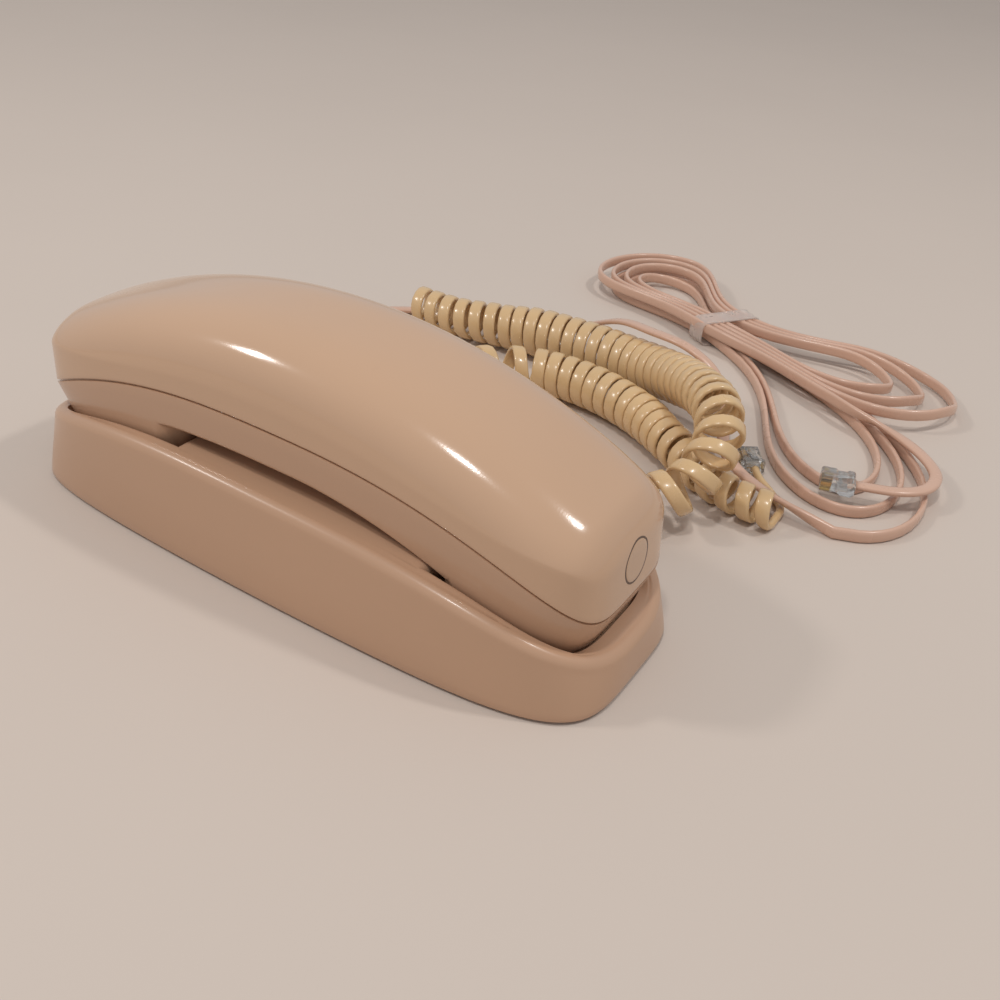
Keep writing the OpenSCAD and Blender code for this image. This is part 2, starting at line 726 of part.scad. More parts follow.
// Centre of the strand, and the outward direction, at a share t of the way from point i
function coil_at(i, t) =
    let (a = axis_point(i - 1), b = axis_point(i), c = axis_point(i + 1), d = axis_point(i + 2),
         along = unit(catmull_slope(a, b, c, d, t)),
         side = unit(cross(along, [0, 0, 1])),
         up = cross(side, along),
         turn = -90 - 360 * (curls_before(i) + t * coil_route[i][2]),
         out = side * cos(turn) + up * sin(turn),
         r = coil_route[i][1] + (coil_route[i + 1][1] - coil_route[i][1]) * smooth(t))
    [catmull(a, b, c, d, t) + out * r, out];

coil_centres = concat(
    [for (i = [0 : len(coil_route) - 2], k = [0 : coil_route[i][2] * curl_rings - 1])
        coil_at(i, k / (coil_route[i][2] * curl_rings))],
    [coil_at(len(coil_route) - 2, 1)]);
coil_n = len(coil_centres);
end_run = strand_w + 0.4;
coil_dir0 = unit([0, 1, 0]);
coil_dir1 = unit([0, 1, 0]);
coil_start = coil_centres[0][0] - coil_dir0 * 2 * end_run;
coil_stop = coil_centres[coil_n - 1][0] + coil_dir1 * 2 * end_run;

coil_mid = [for (c = coil_centres) c[0]];
coil_rings = concat(
    [[coil_start, [1, 0, 0], [0, 0, -1]], [coil_start + coil_dir0 * end_run, [1, 0, 0], [0, 0, -1]]],
    [for (i = [0 : coil_n - 1])
        let (t = i == 0 ? coil_dir0 : i == coil_n - 1 ? coil_dir1 : tangent(coil_mid, i),
             out = unit(coil_centres[i][1] - t * (coil_centres[i][1] * t)))
        [coil_mid[i], cross(out, t), out]],
    [[coil_stop - coil_dir1 * end_run, [1, 0, 0], [0, 0, -1]], [coil_stop, [1, 0, 0], [0, 0, -1]]]);

module curly_cord() color(cream) tube(coil_rings, strand_w, strand_t, curl_side);

// Least distance between strand centres more than half a curl apart, less the strand's width
coil_gap = min([for (i = [0 : 2 : coil_n - 1], j = [i + 6 : coil_n - 1])
    norm(coil_mid[j] - coil_mid[i])]) - strand_w;
echo(str("curly_cord: ", curl_count, " curls, least gap to itself ", coil_gap, " mm"));

plug_x = -base_a - 2;      // where the cords enter the plugs in the base
curly_route = [[plug_x, cord_y, jack_zc], [plug_x - 7, 12.4, 4.4], [plug_x - 13, 17, 2],
    [plug_x - 15.5, 30, 1.6], [plug_x - 15.5, 50, 1.6], [-124, 74, 1.6], [-118, 97, 1.6],
    [-108, 117, 1.6], [-97, 132, 1.6], [-88, 142, 1.6]];

module curly_lead() color(cream)
    tube(level_rings(through_points(concat(curly_route, [coil_start]), 2),
        [-1, 0, 0], coil_dir0), lead_d, lead_d, 8);

tail_route = [[112, 114, 1.6], [106, 120, 1.9], [100, 125, 2.6], [96, 130, 3.2]];
curly_free_at = [96, 130, 3.2];
curly_free_dir = unit([-6, 8, 0]);

module curly_tail() color(cream)
    tube(level_rings(concat([coil_stop], tail_route),
        coil_dir1, curly_free_dir), lead_d, lead_d, 8);

// A clear modular plug that points along +X, with its origin where the cord enters
module plug(w) {
    difference() {
        translate([0, -w / 2, -plug_h / 2]) cube([plug_l, w, plug_h]);
        translate([plug_l / 2, -w / 2 - 1, -plug_h / 2 - 1]) cube([plug_l, w + 2, 2]);
    }
    translate([plug_l - 1, -1.5, plug_h / 2 - 0.6]) rotate([0, 3, 0])
        translate([-10, 0, 0]) cube([10, 3, 0.9]);
}

module place_plug(at, dir, w) translate(at) rotate([0, 0, atan2(dir[1], dir[0])]) plug(w);

module curly_plug_base() color(clear) place_plug([plug_x, cord_y, jack_zc], [1, 0], cord_plug_w);
module curly_plug_free() color(clear) place_plug(curly_free_at, curly_free_dir, cord_plug_w);

// Hank of flat line cord: loops lie on edge, drawn in under the tie. They spiral in over the
// lower layer and out again over the upper one. u is the number of loops from the start.
hank_tie_at = [36, 240];
hank_axis = 146;           // direction of the short lobes, away from the earpiece end
hank_loops = 6;
loop_rings = 32;
hank_from = 0.5;
hank_to = 6.34;
waist_step = flat_t + 1.1;
layer_h = flat_h + 0.7;
hank_z = flat_h / 2 + 0.1;
short_len = 86;
short_step = 7;
short_half = 36;
long_len = [179, 119];     // lower and upper layer
long_step = [16, 14];
long_half = [43, 40];
long_half_step = 8;        // loss of half-width per loop
short_half_step = 6;
long_start = [-28, -14];   // direction of the long lobes at the tie
long_bend = [-50, 16];     // how far they bend on their way

function hank_depth(u) = u < hank_loops / 2 ? u : hank_loops - u;
function hank_layer(u) = smooth((u - (hank_loops / 2 - 0.15)) / 0.3);
function blend(pair, k) = pair[0] + (pair[1] - pair[0]) * k;

function heading(a) = [cos(a), sin(a)];

// Distance along the bent centre line of a long lobe, as a point, with its direction
function bent(s, len_full, start, bend) =
    let (n = 12)
    [for (i = 1, p = [0, 0]; i <= n + 1;
        p = p + s / n * heading(start + bend * s * (i - 0.5) / n / len_full), i = i + 1)
        if (i == n + 1) p][0];

function hank_at(u) =
    let (phi = 180 + 360 * u, c = cos(phi), sn = sin(phi),
         d = hank_depth(u), k = hank_layer(u),
         waist = waist_step * (hank_loops / 2 - d) + waist_step * 0.6,
         long = c > 0,
         length = long ? blend(long_len, k) - d * blend(long_step, k) : short_len - d * short_step,
         half = long ? blend(long_half, k) - d * long_half_step : short_half - d * short_half_step,
         s = abs(c) * length,
         w = sn * (waist * pow(abs(sn), 6) + half * 1.55 * (1 - pow(abs(sn), 6)) * (0.35 + 0.65 * abs(c))),
         start = blend(long_start, k), turn = blend(long_bend, k),
         spine = long ? bent(s, blend(long_len, k), start, turn) : s * heading(hank_axis),
         across_dir = heading(long ? start + turn * s / blend(long_len, k) + 90 : hank_axis - 90),
         lean = long ? smooth((s - 55) / 45) * smooth((w + 12) / 24) : 0,
         lift = 0.9 * exp(-pow(s / 12, 2)))
    concat(hank_tie_at + spine + w * across_dir, [hank_z + lift + layer_h * k * (1 - 0.9 * lean)]);

hank_n = round((hank_to - hank_from) * loop_rings);
hank_mid = [for (i = [0 : hank_n]) hank_at(hank_from + (hank_to - hank_from) * i / hank_n)];
hank_dir0 = let (v = hank_mid[1] - hank_mid[0]) unit([v[0], v[1], 0]);
hank_dir1 = let (v = hank_mid[hank_n] - hank_mid[hank_n - 1]) unit([v[0], v[1], 0]);
hank_run = flat_h;
hank_start = hank_mid[0] - hank_dir0 * hank_run;
hank_stop = hank_mid[hank_n] + hank_dir1 * hank_run;

module line_hank() color(pink_beige)
    tube(level_rings(concat([hank_start], hank_mid, [hank_stop]), hank_dir0, hank_dir1),
        flat_t, flat_h, 6);

// Flat strands clear each other either sideways or by height
hank_gap = min([for (i = [0 : hank_n], j = [i + 4 : 1 : hank_n])
    let (v = hank_mid[j] - hank_mid[i]) max(norm([v[0], v[1]]) - flat_t, abs(v[2]) - flat_h)]);
echo(str("line_hank: ", hank_to - hank_from, " loops, least gap to itself ", hank_gap, " mm"));

line_route = [[plug_x, line_y, jack_zc], [plug_x - 4, line_y + 0.4, 5.4], [plug_x - 9, -9, 3.8],
    [plug_x - 13, -3, 2.4], [plug_x - 17, 8, 1.8], [plug_x - 21, 28, 1.8], [-133.5, 56, 1.8],
    [-132, 90, 1.8], [-127, 118, 1.8], [-115, 142, 1.8], [-98, 161, 1.8], [-82, 171.5, 1.8],
    [-62, 176, 1.8], [-46, 182, 1.8], [-22, 186, 5], [-4, 183, 15], [14, 174, 24.5], [32, 165, 28.3],
    [50, 160, 28.8], [64, 158, 22.5], [74, 149, 12], [82, 131, 7.5], [94, 118, 6.8], [110, 111, 6]];

module line_lead() color(pink_beige)
    tube(level_rings(through_points(concat(line_route, [hank_start]), 2),
        [-1, 0, 0], hank_dir0), line_d, line_d, 8);

line_free_at = [132.4, 134, flat_h + plug_h / 2 + 0.5];   // the plug lies on a loop
line_free_dir = unit([-10, -3, 0]);
line_tail_route = [[113, 192.5, 8.2], [130, 186, 8], [146, 175, 7.6], [155, 162, 7.8],
    [155, 149, 8.2], [147, 139.6, 8.4]];

module line_tail() color(pink_beige)
    tube(level_rings(through_points(concat([hank_stop], line_tail_route, [line_free_at]), 2),
        hank_dir1, line_free_dir), line_d, line_d, 8);

module line_plug_base() color(clear) place_plug([plug_x, line_y, jack_zc], [1, 0], line_plug_w);
module line_plug_free() color(clear) place_plug(line_free_at, line_free_dir, line_plug_w);

tie_half = waist_step * (hank_loops / 2) + waist_step * 0.6 + flat_t / 2 + 1.4;
tie_skew = 2;              // the upper layer leaves the tie aslant, so one side stands wider
tie_t = 0.8;
tie_top = hank_z + 0.9 + layer_h + flat_h / 2 + 0.3;

module hank_tie() color(clear)
    translate([hank_tie_at[0], hank_tie_at[1], 0]) rotate([0, 0, hank_axis]) difference() {
        box(-5, 5, -tie_half - tie_skew - tie_t, tie_half + tie_t, 0, tie_top + tie_t);
        box(-6, 6, -tie_half - tie_skew, tie_half, 0.6, tie_top);
    }

// ---- output ----

handset_back_cover();
badge_disc();
handset_front_housing();
number_card();
card_window();
for (r = [0 : 3], c = [0 : 2])
    key(key_x(r), key_y(c), key_l, key_w);
key(recall_x, 0, recall_l, recall_w);  // recall_key
dome_mat();
keypad_board();
board_screws();
receiver_capsule();
receiver_ring();
microphone();
microphone_boot();
handset_jack();
handset_screws();
base_housing();
base_plate();
plate_screws();
rubber_feet();
network_board();
line_jack();
cord_jack();
hook_plunger();
hook_spring();
hook_switch();
gong();
gong_screw();
ringer_frame();
ringer_coil();
clapper();
clapper_pin();
volume_slider();
curly_plug_base();
curly_lead();
curly_cord();
curly_tail();
curly_plug_free();
line_plug_base();
line_lead();
line_hank();
line_tail();
line_plug_free();
hank_tie();
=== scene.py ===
"""Slimline telephone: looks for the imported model. All shapes are made in millimetres and scaled to metres."""

import json
import math

import bmesh
import bpy
import numpy as np
from mathutils import Matrix, Vector
from mathutils.bvhtree import BVHTree


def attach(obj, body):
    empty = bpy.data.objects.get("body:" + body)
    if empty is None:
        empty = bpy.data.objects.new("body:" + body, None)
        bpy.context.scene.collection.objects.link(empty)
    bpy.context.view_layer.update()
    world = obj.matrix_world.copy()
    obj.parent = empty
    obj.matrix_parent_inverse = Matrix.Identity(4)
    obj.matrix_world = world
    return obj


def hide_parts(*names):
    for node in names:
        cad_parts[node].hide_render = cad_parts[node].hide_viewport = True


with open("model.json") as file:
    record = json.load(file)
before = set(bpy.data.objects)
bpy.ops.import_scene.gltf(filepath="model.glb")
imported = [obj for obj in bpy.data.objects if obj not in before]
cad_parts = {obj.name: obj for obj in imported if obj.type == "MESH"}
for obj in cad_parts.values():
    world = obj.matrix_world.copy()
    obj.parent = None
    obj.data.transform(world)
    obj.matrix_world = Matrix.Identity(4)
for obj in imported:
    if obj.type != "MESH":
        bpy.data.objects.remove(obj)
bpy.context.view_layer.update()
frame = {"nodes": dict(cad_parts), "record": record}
nodes = frame["nodes"]
MM = 0.001


# ---------------------------------------------------------------- mesh helpers

def mesh_object(name, verts, faces, mat=None, smooth=True):
    """A mesh object from millimetre points."""
    mesh = bpy.data.meshes.new(name)
    mesh.from_pydata([tuple(float(c) * MM for c in v) for v in verts], [], [tuple(f) for f in faces])
    mesh.validate()
    bm = bmesh.new()
    bm.from_mesh(mesh)
    bmesh.ops.remove_doubles(bm, verts=bm.verts, dist=1e-6)
    bmesh.ops.recalc_face_normals(bm, faces=bm.faces)
    bm.to_mesh(mesh)
    bm.free()
    if smooth:
        mesh.polygons.foreach_set("use_smooth", [True] * len(mesh.polygons))
    obj = bpy.data.objects.new(name, mesh)
    bpy.context.scene.collection.objects.link(obj)
    if mat:
        mesh.materials.append(mat)
    return obj


def apply_modifiers(obj):
    """Bakes the modifiers into the object's mesh."""
    deps = bpy.context.evaluated_depsgraph_get()
    deps.update()
    done = bpy.data.meshes.new_from_object(obj.evaluated_get(deps))
    old = obj.data
    obj.modifiers.clear()
    obj.data = done
    bpy.data.meshes.remove(old)


def sharp_by_angle(obj, degrees):
    """Smooth shading that stays crisp over edges sharper than an angle."""
    mesh = obj.data
    mesh.polygons.foreach_set("use_smooth", [True] * len(mesh.polygons))
    mesh.set_sharp_from_angle(angle=math.radians(degrees))


def loft(rows, closed=True):
    """Vertices and quads between rows of equally many points."""
    n = len(rows[0])
    verts = [p for row in rows for p in row]
    faces = []
    for r in range(len(rows) - 1):
        for i in range(n if closed else n - 1):
            j = (i + 1) % n
            faces.append((r * n + i, r * n + j, (r + 1) * n + j, (r + 1) * n + i))
    return verts, faces


def ring(xy, z):
    """A row of points from plan points and one height or one height each."""
    return [(q[0], q[1], float(h)) for q, h in zip(xy, np.broadcast_to(z, len(xy)))]


def box_mesh(x0, x1, y0, y1, z0, z1, shift=0):
    """Vertices and faces of a box, its indices shifted past what a list already holds."""
    v = [(x, y, z) for x in (x0, x1) for y in (y0, y1) for z in (z0, z1)]
    f = [(0, 1, 3, 2), (4, 6, 7, 5), (0, 4, 5, 1), (2, 3, 7, 6), (0, 2, 6, 4), (1, 5, 7, 3)]
    return v, [tuple(i + shift for i in q) for q in f]


def rounded(obj, width):
    """Rounds the edges of an object by a small bevel."""
    b = obj.modifiers.new("round", "BEVEL")
    b.width = width * MM
    b.segments = 2
    b.limit_method = "ANGLE"
    b.angle_limit = math.radians(30)
    apply_modifiers(obj)
    sharp_by_angle(obj, 40)


# ---------------------------------------------------------------- materials

def lin(r, g, b):
    """Display colour, 0 to 255, as the linear colour that shaders take."""
    out = []
    for c in (r, g, b):
        c /= 255.0
        out.append(c / 12.92 if c <= 0.04045 else ((c + 0.055) / 1.055) ** 2.4)
    return (*out, 1.0)


def shade(name, color, rough=0.35, metal=0.0, coat=0.0, coat_rough=0.05, spread=0.06, spread_scale=14.0,
          grain=0.0, grain_scale=900.0, rough_spread=0.08, wear=0.0, trans=0.0, ior=1.5, spec=0.5,
          stretch=(1, 1, 1), alpha=None):
    """Procedural material: cloudy colour, uneven gloss, fine grain and soft scuffs."""
    scuff_from, scuff_full, scuff_dark = 0.66, 0.74, 0.55
    cloud_low, cloud_high = 0.3, 0.72
    grain_depth = 0.0002
    m = bpy.data.materials.new(name)
    m.use_nodes = True
    t = m.node_tree
    t.nodes.clear()
    out = t.nodes.new("ShaderNodeOutputMaterial")
    b = t.nodes.new("ShaderNodeBsdfPrincipled")
    t.links.new(b.outputs[0], out.inputs[0])
    at = t.nodes.new("ShaderNodeTexCoord")
    mp = t.nodes.new("ShaderNodeMapping")
    mp.inputs["Scale"].default_value = stretch
    t.links.new(at.outputs["Object"], mp.inputs[0])

    def noise(scale, detail, roughness):
        n = t.nodes.new("ShaderNodeTexNoise")
        n.inputs["Scale"].default_value = scale
        n.inputs["Detail"].default_value = detail
        n.inputs["Roughness"].default_value = roughness
        t.links.new(mp.outputs[0], n.inputs["Vector"])
        return n

    cloud = noise(spread_scale, 4.0, 0.55)
    ramp = t.nodes.new("ShaderNodeValToRGB")
    ramp.color_ramp.elements[0].position = cloud_low
    ramp.color_ramp.elements[1].position = cloud_high
    ramp.color_ramp.elements[0].color = (*[c * (1 - spread) for c in color[:3]], 1)
    ramp.color_ramp.elements[1].color = (*[min(1, c * (1 + spread)) for c in color[:3]], 1)
    t.links.new(cloud.outputs["Fac"], ramp.inputs[0])
    last = ramp.outputs[0]
    if wear > 0:
        specks = noise(160.0, 6.0, 0.7)
        mask = t.nodes.new("ShaderNodeMapRange")
        mask.inputs["From Min"].default_value = scuff_from
        mask.inputs["From Max"].default_value = scuff_full
        mask.inputs["To Max"].default_value = wear
        t.links.new(specks.outputs["Fac"], mask.inputs["Value"])
        mix = t.nodes.new("ShaderNodeMix")
        mix.data_type = "RGBA"
        mix.inputs["B"].default_value = (*[c * scuff_dark for c in color[:3]], 1)
        t.links.new(mask.outputs[0], mix.inputs["Factor"])
        t.links.new(last, mix.inputs["A"])
        last = mix.outputs["Result"]
    t.links.new(last, b.inputs["Base Color"])
    gloss = noise(55.0, 5.0, 0.6)
    span = t.nodes.new("ShaderNodeMapRange")
    span.inputs["To Min"].default_value = max(0.02, rough - rough_spread)
    span.inputs["To Max"].default_value = min(1.0, rough + rough_spread)
    t.links.new(gloss.outputs["Fac"], span.inputs["Value"])
    t.links.new(span.outputs[0], b.inputs["Roughness"])
    if grain > 0:
        fine = noise(grain_scale, 2.0, 0.5)
        bump = t.nodes.new("ShaderNodeBump")
        bump.inputs["Strength"].default_value = grain
        bump.inputs["Distance"].default_value = grain_depth
        t.links.new(fine.outputs["Fac"], bump.inputs["Height"])
        t.links.new(bump.outputs[0], b.inputs["Normal"])
    b.inputs["Metallic"].default_value = metal
    b.inputs["IOR"].default_value = ior
    b.inputs["Specular IOR Level"].default_value = spec
    b.inputs["Coat Weight"].default_value = coat
    b.inputs["Coat Roughness"].default_value = coat_rough
    b.inputs["Transmission Weight"].default_value = trans
    if alpha is not None:
        b.inputs["Alpha"].default_value = alpha
    m.diffuse_color = color
    return m


beige = shade("beige_gloss", lin(202, 166, 136), rough=0.14, coat=0.25, coat_rough=0.04, spread=0.025,
              spread_scale=9.0, grain=0.05, grain_scale=1500.0, rough_spread=0.04, wear=0.05)
# painted shade: a darker copy of the cover's beige for the handset's lower half, which is the same plastic
beige_painted_shade = shade("beige_painted_shade", lin(190, 153, 125), rough=0.18, coat=0.2, coat_rough=0.05, spread=0.025,
                  spread_scale=9.0, grain=0.05, grain_scale=1500.0, rough_spread=0.04, wear=0.05)
seam_mat = shade("seam_shadow", lin(104, 84, 70), rough=0.6, spread=0.05, grain=0.1)
beige_base = shade("beige_base", lin(194, 156, 127), rough=0.30, coat=0.12, coat_rough=0.10, spread=0.03,
                   spread_scale=8.0, grain=0.06, grain_scale=1500.0, rough_spread=0.05, wear=0.06)
key_mat = shade("key_caps", lin(206, 174, 145), rough=0.28, coat=0.2, spread=0.02, grain=0.05)
badge_mat = shade("badge_plain", lin(198, 163, 133), rough=0.22, coat=0.3, spread=0.02, grain=0.04)
plate_mat = shade("plate_brown", lin(92, 84, 78), rough=0.55, spread=0.08, grain=0.35, grain_scale=1200.0)
dark_mat = shade("dark_plastic", lin(44, 43, 44), rough=0.42, spread=0.10, grain=0.2)
rubber_mat = shade("dark_rubber", lin(34, 33, 33), rough=0.75, spread=0.12, grain=0.4, wear=0.3)
board_mat = shade("board_green", lin(38, 92, 58), rough=0.35, coat=0.4, spread=0.14, spread_scale=120.0)
steel_mat = shade("steel_bright", lin(190, 190, 194), rough=0.28, metal=1.0, spread=0.06, grain=0.1,
                  stretch=(1, 1, 6))
can_mat = shade("capsule_can", lin(168, 168, 172), rough=0.35, metal=1.0, spread=0.05, grain=0.15)
brass_mat = shade("gong_brass", lin(214, 176, 104), rough=0.25, metal=1.0, spread=0.10, spread_scale=40.0)
gold_mat = shade("contact_gold", lin(226, 184, 96), rough=0.22, metal=1.0, spread=0.05)
winding_mat = shade("coil_winding", lin(158, 84, 44), rough=0.35, metal=0.6, spread=0.15, spread_scale=30.0,
                    stretch=(40, 1, 1), grain=0.3)
card_mat = shade("card_paper", lin(238, 234, 224), rough=0.8, spread=0.03, grain=0.15)
clear_mat = shade("clear_plastic", lin(240, 240, 238), rough=0.12, trans=0.9, ior=1.46, spread=0.01,
                  rough_spread=0.06)
tie_mat = shade("tie_film", lin(240, 228, 220), rough=0.28, trans=0.45, ior=1.15, spread=0.03,
                spread_scale=60.0, grain=0.12, grain_scale=500.0, alpha=0.6)
cream_mat = shade("curly_cream", lin(216, 182, 135), rough=0.26, coat=0.3, coat_rough=0.12, spread=0.05,
                  spread_scale=25.0, grain=0.08, wear=0.08)
pink_mat = shade("line_pink", lin(212, 173, 150), rough=0.28, coat=0.3, coat_rough=0.15, spread=0.05,
                 spread_scale=22.0, grain=0.08, wear=0.06)

SLOT = {"beige": beige, "plate": plate_mat, "dark_plastic": dark_mat, "dark_rubber": rubber_mat,
        "board": board_mat, "steel": steel_mat, "can": can_mat, "brass": brass_mat,
        "winding": winding_mat, "card": card_mat, "clear": clear_mat, "cream_cord": cream_mat,
        "pink_cord": pink_mat, "tie": tie_mat}

# ---------------------------------------------------------------- camera

# Place, directions and lens are fitted to the photograph's outlines
CAM_AT = (0.1938, -0.2343, 0.2150)
CAM_RIGHT = (0.8431, 0.5330, 0.0709)
CAM_UP = (-0.3408, 0.4277, 0.8372)
CAM_AHEAD = (-0.4159, 0.7300, -0.5423)

cam_data = bpy.data.cameras.new("photo_camera")
cam = bpy.data.objects.new("photo_camera", cam_data)
bpy.context.scene.collection.objects.link(cam)
cam_data.lens = 39.99
cam_data.sensor_width = 36.0
cam_data.sensor_fit = "HORIZONTAL"
cam_data.clip_start = 0.01
cam.matrix_world = Matrix([(r, u, -a, p) for r, u, a, p in zip(CAM_RIGHT, CAM_UP, CAM_AHEAD, CAM_AT)]
                          + [(0, 0, 0, 1)])
bpy.context.scene.camera = cam


# ---------------------------------------------------------------- cords

def unit(v):
    v = np.asarray(v, float)
    return v / np.linalg.norm(v)


def catmull(a, b, c, d, t):
    """Point at share t between b and c on the spline through a, b, c and d."""
    return 0.5 * (2 * b + (c - a) * t + (2 * a - 5 * b + 4 * c - d) * t * t
                  + (3 * b - a - 3 * c + d) * t ** 3)


def through_points(q, steps):
    """A smooth path through points, with so many steps from each to the next."""
    q = [np.asarray(p, float) for p in q]
    last = len(q) - 1
    out = [catmull(q[max(i - 1, 0)], q[i], q[i + 1], q[min(i + 2, last)], k / steps)
           for i in range(last) for k in range(steps)]
    return out + [q[last]]


def smooth(t):
    """Eased step from 0 to 1."""
    c = max(0.0, min(1.0, t))
    return c * c * (3 - 2 * c)


def flat_section(w, h, n, power=2.6):
    """Points of a rounded flat section, w along the side and h along the normal."""
    out = []
    for k in range(n):
        a = 2 * math.pi * (k + 0.5) / n
        c, s = math.cos(a), math.sin(a)
        out.append((math.copysign(abs(c) ** (2 / power), c) * w / 2,
                    math.copysign(abs(s) ** (2 / power), s) * h / 2))
    return out


def sweep(name, path, sides, sections, mat):
    """Sweeps a section along a path. sides holds the direction of the section's width."""
    path = [np.asarray(p, float) for p in path]
    count = len(path)
    rows = []
    for i in range(count):
        t = unit(path[min(i + 1, count - 1)] - path[max(i - 1, 0)])
        s = unit(sides[i] - t * np.dot(sides[i], t))
        nrm = np.cross(s, t)
        rows.append([path[i] + s * u + nrm * v for u, v in sections[i]])
    verts, faces = loft(rows)
    n = len(rows[0])
    faces.append(tuple(range(n)))
    faces.append(tuple((count - 1) * n + k for k in reversed(range(n))))
    return mesh_object(name, verts, faces, mat)


def length_of(path):
    p = np.array(path)
    return float(np.linalg.norm(np.diff(p, axis=0), axis=1).sum())


UP = np.array([0.0, 0.0, 1.0])
Y = np.array([0.0, 1.0, 0.0])
PLUG_X, CORD_Y, LINE_Y, JACK_Z = -111.0, 12.0, -12.0, 6.1

# Axis of the coil, in mm: a point, the coil's radius there, and the curls up to the next point
COIL = [
    ((-84, 160, 9.3), 7.6, 3), ((-62, 160, 9.3), 7.8, 3), ((-40, 163, 10.4), 8.6, 3), ((-20, 166, 11.4), 9.8, 4),
    ((6, 166, 12), 10.1, 4), ((31, 161.5, 13.5), 10, 4), ((51, 151, 18.5), 9.3, 4), ((68, 134.5, 25), 8.6, 3),
    ((82, 115, 29.3), 8.4, 2), ((90, 96, 26), 8.2, 2), ((86, 78, 16), 8, 2), ((66, 66, 9.8), 7.7, 4),
    ((38, 64, 9.3), 7.7, 3), ((8, 66, 9.3), 7.7, 2), ((-16, 77, 9.3), 7.7, 2), ((-31, 98, 9.3), 7.7, 2),
    ((-27, 121, 9.6), 7.9, 2), ((-6, 135, 10), 8.3, 4), ((20, 137, 10), 8.4, 4), ((45, 130, 9.7), 8.1, 4),
    ((65, 118, 8.9), 7.2, 3), ((83, 106, 7.8), 6.2, 2), ((99, 100, 7.4), 5.8, 2), ((114, 99, 7.4), 5.8, 0)]
RINGS = 16                           # rings of vertices per curl
FIRST_TURN = -90                     # degrees, where the first curl starts
BAND_GAP = 0.25                      # mm between neighbouring curls
BAND_LEAST, BAND_MOST = 4.6, 5.4     # mm, width of the coiled strand
CABLE = 3.0                          # mm across the round lead and tail
COIL_OUT = 10.0                      # mm from the coil's ends to the lead and the tail


def coil_line():
    """Centre line of the curly strand and its outward direction, as in the solid."""
    pts = [np.array(p[0], float) for p in COIL]
    ext = [2 * pts[0] - pts[1]] + pts + [2 * pts[-1] - pts[-2]]
    mids, outs = [], []
    done = 0
    for i in range(len(pts) - 1):
        a, b, c, d = ext[i], ext[i + 1], ext[i + 2], ext[i + 3]
        curls = COIL[i][2]
        steps = curls * RINGS
        for k in range(steps + (1 if i == len(pts) - 2 else 0)):
            t = k / steps
            along = unit(0.5 * ((c - a) + 2 * (2 * a - 5 * b + 4 * c - d) * t
                                + 3 * (3 * b - a - 3 * c + d) * t * t))
            side = unit(np.cross(along, UP))
            over = np.cross(side, along)
            turn = math.radians(FIRST_TURN - 360 * (done + t * curls))
            out = side * math.cos(turn) + over * math.sin(turn)
            r = COIL[i][1] + (COIL[i + 1][1] - COIL[i][1]) * smooth(t)
            mids.append(catmull(a, b, c, d, t) + out * r)
            outs.append(out)
        done += curls
    return mids, outs


def level_side(path, i):
    """Level direction across a path at its point i."""
    t = unit(path[min(i + 1, len(path) - 1)] - path[max(i - 1, 0)])
    return unit(np.cross(t, UP))


coil_mid, coil_out = coil_line()
coil_start = coil_mid[0] - Y * COIL_OUT
coil_stop = coil_mid[-1] + Y * COIL_OUT
curly_route = [(PLUG_X, CORD_Y, JACK_Z), (PLUG_X - 7, 12.4, 4.4), (PLUG_X - 13, 17, 2),
               (PLUG_X - 15.5, 30, 1.6), (PLUG_X - 15.5, 50, 1.6), (-124, 74, 1.6), (-118, 97, 1.6),
               (-108, 117, 1.6), (-97, 132, 1.6), (-88, 142, 1.6)]
lead = through_points(curly_route + [coil_start], 8)
tail = through_points([coil_stop, (112, 114, 1.6), (106, 120, 1.9), (100, 125, 2.6), (96, 130, 3.2)], 6)
curly_path = lead + [coil_start + Y * COIL_OUT / 2] + coil_mid + [coil_stop - Y * COIL_OUT / 2] + tail
curly_sides, curly_sections = [], []
n_lead, n_coil = len(lead), len(coil_mid)
# the band is as wide as the way to the next curl allows
mids = np.array(coil_mid)
turn_gap = np.full(n_coil, 99.0)
for shift in (RINGS - 1, RINGS, RINGS + 1):
    apart = np.linalg.norm(mids[shift:] - mids[:-shift], axis=1)
    turn_gap[:-shift] = np.minimum(turn_gap[:-shift], apart)
    turn_gap[shift:] = np.minimum(turn_gap[shift:], apart)
band_w = np.clip(turn_gap - BAND_GAP, BAND_LEAST, BAND_MOST)
strand, cable = flat_section(1.0, 2.0, 14, 3.2), flat_section(CABLE, CABLE, 14, 2.0)
for i in range(len(curly_path)):
    if n_lead < i <= n_lead + n_coil:
        k = i - n_lead - 1
        t = unit(curly_path[i + 1] - curly_path[i - 1])
        curly_sides.append(np.cross(t, coil_out[k]))
        flatness = smooth(min(1.0, (k + 1) / 6, (n_coil - k) / 6))     # 0 round, 1 flat
        band = band_w[k]
    else:
        curly_sides.append(-level_side(curly_path, i))
        flatness, band = 0.0, CABLE
    curly_sections.append([(a * band * flatness + c * (1 - flatness), b * flatness + d * (1 - flatness))
                           for (a, b), (c, d) in zip(strand, cable)])
curly = sweep("curly_handset_cord", curly_path, curly_sides, curly_sections, cream_mat)

HANK_AT = np.array([36.0, 240.0])    # where the tie sits
HANK_AXIS = 146.0                    # heading of the hank's short end, in degrees
HANK_FROM, HANK_TO = 0.5, 6.34       # in loops
HANK_STEPS = 96                      # per loop
HANK_OUT = 4.8                       # mm from the hank's ends to the lead and the tail
LINE_W, LINE_H = 4.8, 2.3


def mixed(pair, k):
    """Value at share k from the first of a pair to the second."""
    return pair[0] + (pair[1] - pair[0]) * k


def heading(a):
    """Level direction of an angle in degrees."""
    return np.array([math.cos(math.radians(a)), math.sin(math.radians(a))])


